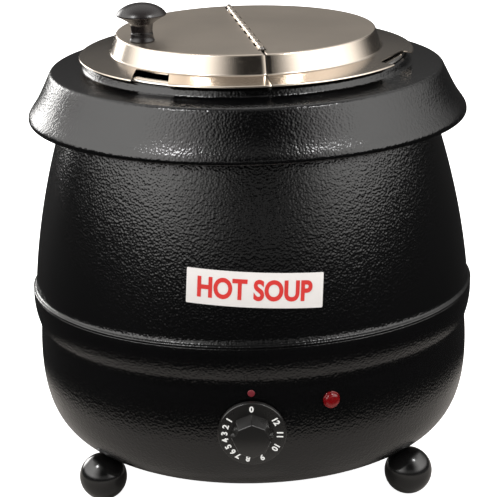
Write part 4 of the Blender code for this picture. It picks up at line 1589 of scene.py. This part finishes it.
@dataclass
class Studio:
    """The pale floor, the soft light round it and the camera.

    Attributes:
        camera: Where the camera is.
        target: What it looks at.
        roll: How far it is turned about its own line of sight, in degrees.
        lens: Its focal length in millimetres on a 36 mm sensor.
    """

    camera: tuple[float, float, float] = (0.0261, -1.5946, 0.6623)
    target: tuple[float, float, float] = (-0.0017, 0.0, 0.1773)
    roll: float = -1.518
    lens: float = 154.8

    def shoot(self) -> None:
        """Sets the camera up."""
        data = bpy.data.cameras.new("camera")
        data.lens = self.lens
        data.sensor_width = 36.0
        camera = bpy.data.objects.new("camera", data)
        line = Vector(self.target) - Vector(self.camera)
        turn = line.to_track_quat("-Z", "Y").to_matrix() @ Matrix.Rotation(radians(self.roll), 3, "Z")
        camera.matrix_world = Matrix.Translation(self.camera) @ turn.to_4x4()
        bpy.context.scene.collection.objects.link(camera)
        bpy.context.scene.camera = camera

    def floor(self) -> None:
        """Lays a pale floor that glows evenly to the eye, while reflections see a painted pool of light
        round the kettle that fades to near black further out.
        """
        bm = bmesh.new()
        bmesh.ops.create_grid(bm, x_segments=1, y_segments=1, size=12.0)
        floor = add_piece("floor", bm)
        material = bpy.data.materials.new("pale_floor")
        material.use_nodes = True
        nodes = Nodes(material.node_tree)
        links = material.node_tree.links
        shader = material.node_tree.nodes["Principled BSDF"]
        shader.inputs["Roughness"].default_value = 0.9
        shader.inputs["Specular IOR Level"].default_value = 0.1
        shader.inputs["Emission Color"].default_value = (1.0, 1.0, 1.0, 1.0)
        away = nodes.add("VectorMath", {0: nodes.place()}, operation="LENGTH").outputs["Value"]
        path = nodes.add("LightPath")
        # Painted reflection light: to glossy rays the floor is bright within 0.25 m of the middle and near
        # black past 0.34 m, a painted lit patch in a dark room.
        far = nodes.mix(nodes.span(away, 0.25, 0.34), (0.55, 0.52, 0.49, 1.0), (0.01, 0.01, 0.01, 1.0))
        tone = nodes.mix(path.outputs["Is Glossy Ray"], (0.92, 0.92, 0.92, 1.0), far)
        links.new(tone, shader.inputs["Base Color"])
        glow = nodes.sums("MULTIPLY", path.outputs["Is Camera Ray"], 0.95)
        links.new(glow, shader.inputs["Emission Strength"])
        floor.data.materials.append(material)

    def panel(self, nodes: Nodes, bearing: object, start: Point, end: Point,
              level: float) -> bpy.types.NodeSocket:
        """A soft upright panel of light, as reflections see it.

        Args:
            nodes: The world's nodes.
            bearing: The azimuth that a reflection looks along, in radians.
            start: Over which azimuths it comes in.
            end: Over which azimuths it goes out.
            level: How bright it is.

        Returns:
            Its brightness along that azimuth.
        """
        rise = nodes.span(bearing, *(radians(a) for a in start))
        fall = nodes.span(bearing, *(radians(a) for a in end), 1.0, 0.0)
        return nodes.sums("MULTIPLY", nodes.sums("MULTIPLY", rise, fall), level)

    def air(self) -> None:
        """Fills the room with even light that reflections see as three panels in a dim room."""
        world = bpy.data.worlds.new("studio")
        world.use_nodes = True
        bpy.context.scene.world = world
        nodes = Nodes(world.node_tree)
        background = world.node_tree.nodes["Background"]
        apart = nodes.add("SeparateXYZ", {0: nodes.add("TexCoord").outputs["Generated"]})
        across, deep, high = apart.outputs
        bearing = nodes.sums("ARCTAN2", across, nodes.sums("MULTIPLY", deep, -1.0))
        left = self.panel(nodes, bearing, (-170, -60), (-60, -4), 3.6)
        right = self.panel(nodes, bearing, (20, 66), (66, 150), 3.2)
        flank = self.panel(nodes, bearing, (-160, -150), (-138, -126), 7.0)
        flank = nodes.sums("MULTIPLY", flank, nodes.span(high, -0.04, 0.04))
        flank = nodes.sums("MULTIPLY", flank, nodes.span(high, 0.30, 0.42, 1.0, 0.0))
        panels = nodes.sums("MULTIPLY", nodes.sums("ADD", left, right), nodes.span(high, 0.05, 0.25))
        panels = nodes.sums("MULTIPLY", panels, nodes.span(high, 0.70, 0.95, 1.0, 0.0))
        low_part = nodes.span(high, 0.0, 0.30, 0.04, 0.13)
        rising = nodes.sums("ADD", low_part, nodes.span(high, 0.36, 0.60, 0.0, 0.7))
        back = nodes.sums("MULTIPLY", nodes.span(deep, -0.2, 0.6), rising)
        haze = nodes.sums("MULTIPLY", nodes.span(high, 0.02, 0.14), nodes.span(high, 0.22, 0.45, 0.40, 0.0))
        back = nodes.sums("ADD", back, nodes.sums("MULTIPLY", nodes.span(deep, -0.8, -0.3, 1.0, 0.0), haze))
        room = nodes.sums("ADD", nodes.sums("ADD", back, nodes.span(high, 0.6, 1.0, 0.0, 0.35)), panels)
        room = nodes.sums("ADD", room, flank)
        seen = nodes.add("LightPath").outputs["Is Glossy Ray"]
        level = nodes.sums("ADD", nodes.sums("MULTIPLY", seen, nodes.sums("SUBTRACT", room, 1.0)), 1.0)
        world.node_tree.links.new(level, background.inputs["Strength"])
        background.inputs["Color"].default_value = (1.0, 0.985, 0.965, 1.0)

    def build(self) -> None:
        """Sets the studio up."""
        bpy.context.scene.view_settings.view_transform = "Standard"
        self.shoot()
        self.floor()
        self.air()
        middle = Vector((0, 0, 0.18))
        Softbox((-1.35, -1.0, 2.7), (0.5, 0.5), 22).build("left_softbox", middle)
        Softbox((1.35, -0.85, 2.6), (0.45, 0.45), 15).build("right_softbox", middle)


def main() -> None:
    """Builds the kettle from the body outwards, and then the studio."""
    logging.basicConfig(level=logging.INFO, format="%(message)s")
    Casing().build()
    for foot in Feet.all():
        foot.build()
    Screws(PLATE_SCREWS, Body.KETTLE, (0.0036, 0.0018), (0.0017, 0.006), down=True).build()
    Screws(WELL_SCREWS, Body.KETTLE, (0.0030, 0.0007), (0.0017, 0.006)).build()
    Screws(("knob_screw",), Body.FLAP, (0.0042, 0.0022), (0.0020, 0.012), down=True).build()
    Controls().build()
    MenuStrip().build()
    CableGland().build()
    Collar().build()
    Vessels().build()
    Lid().build()
    InnerWorks().build()
    Studio().build()


if __name__ == "__main__":
    main()
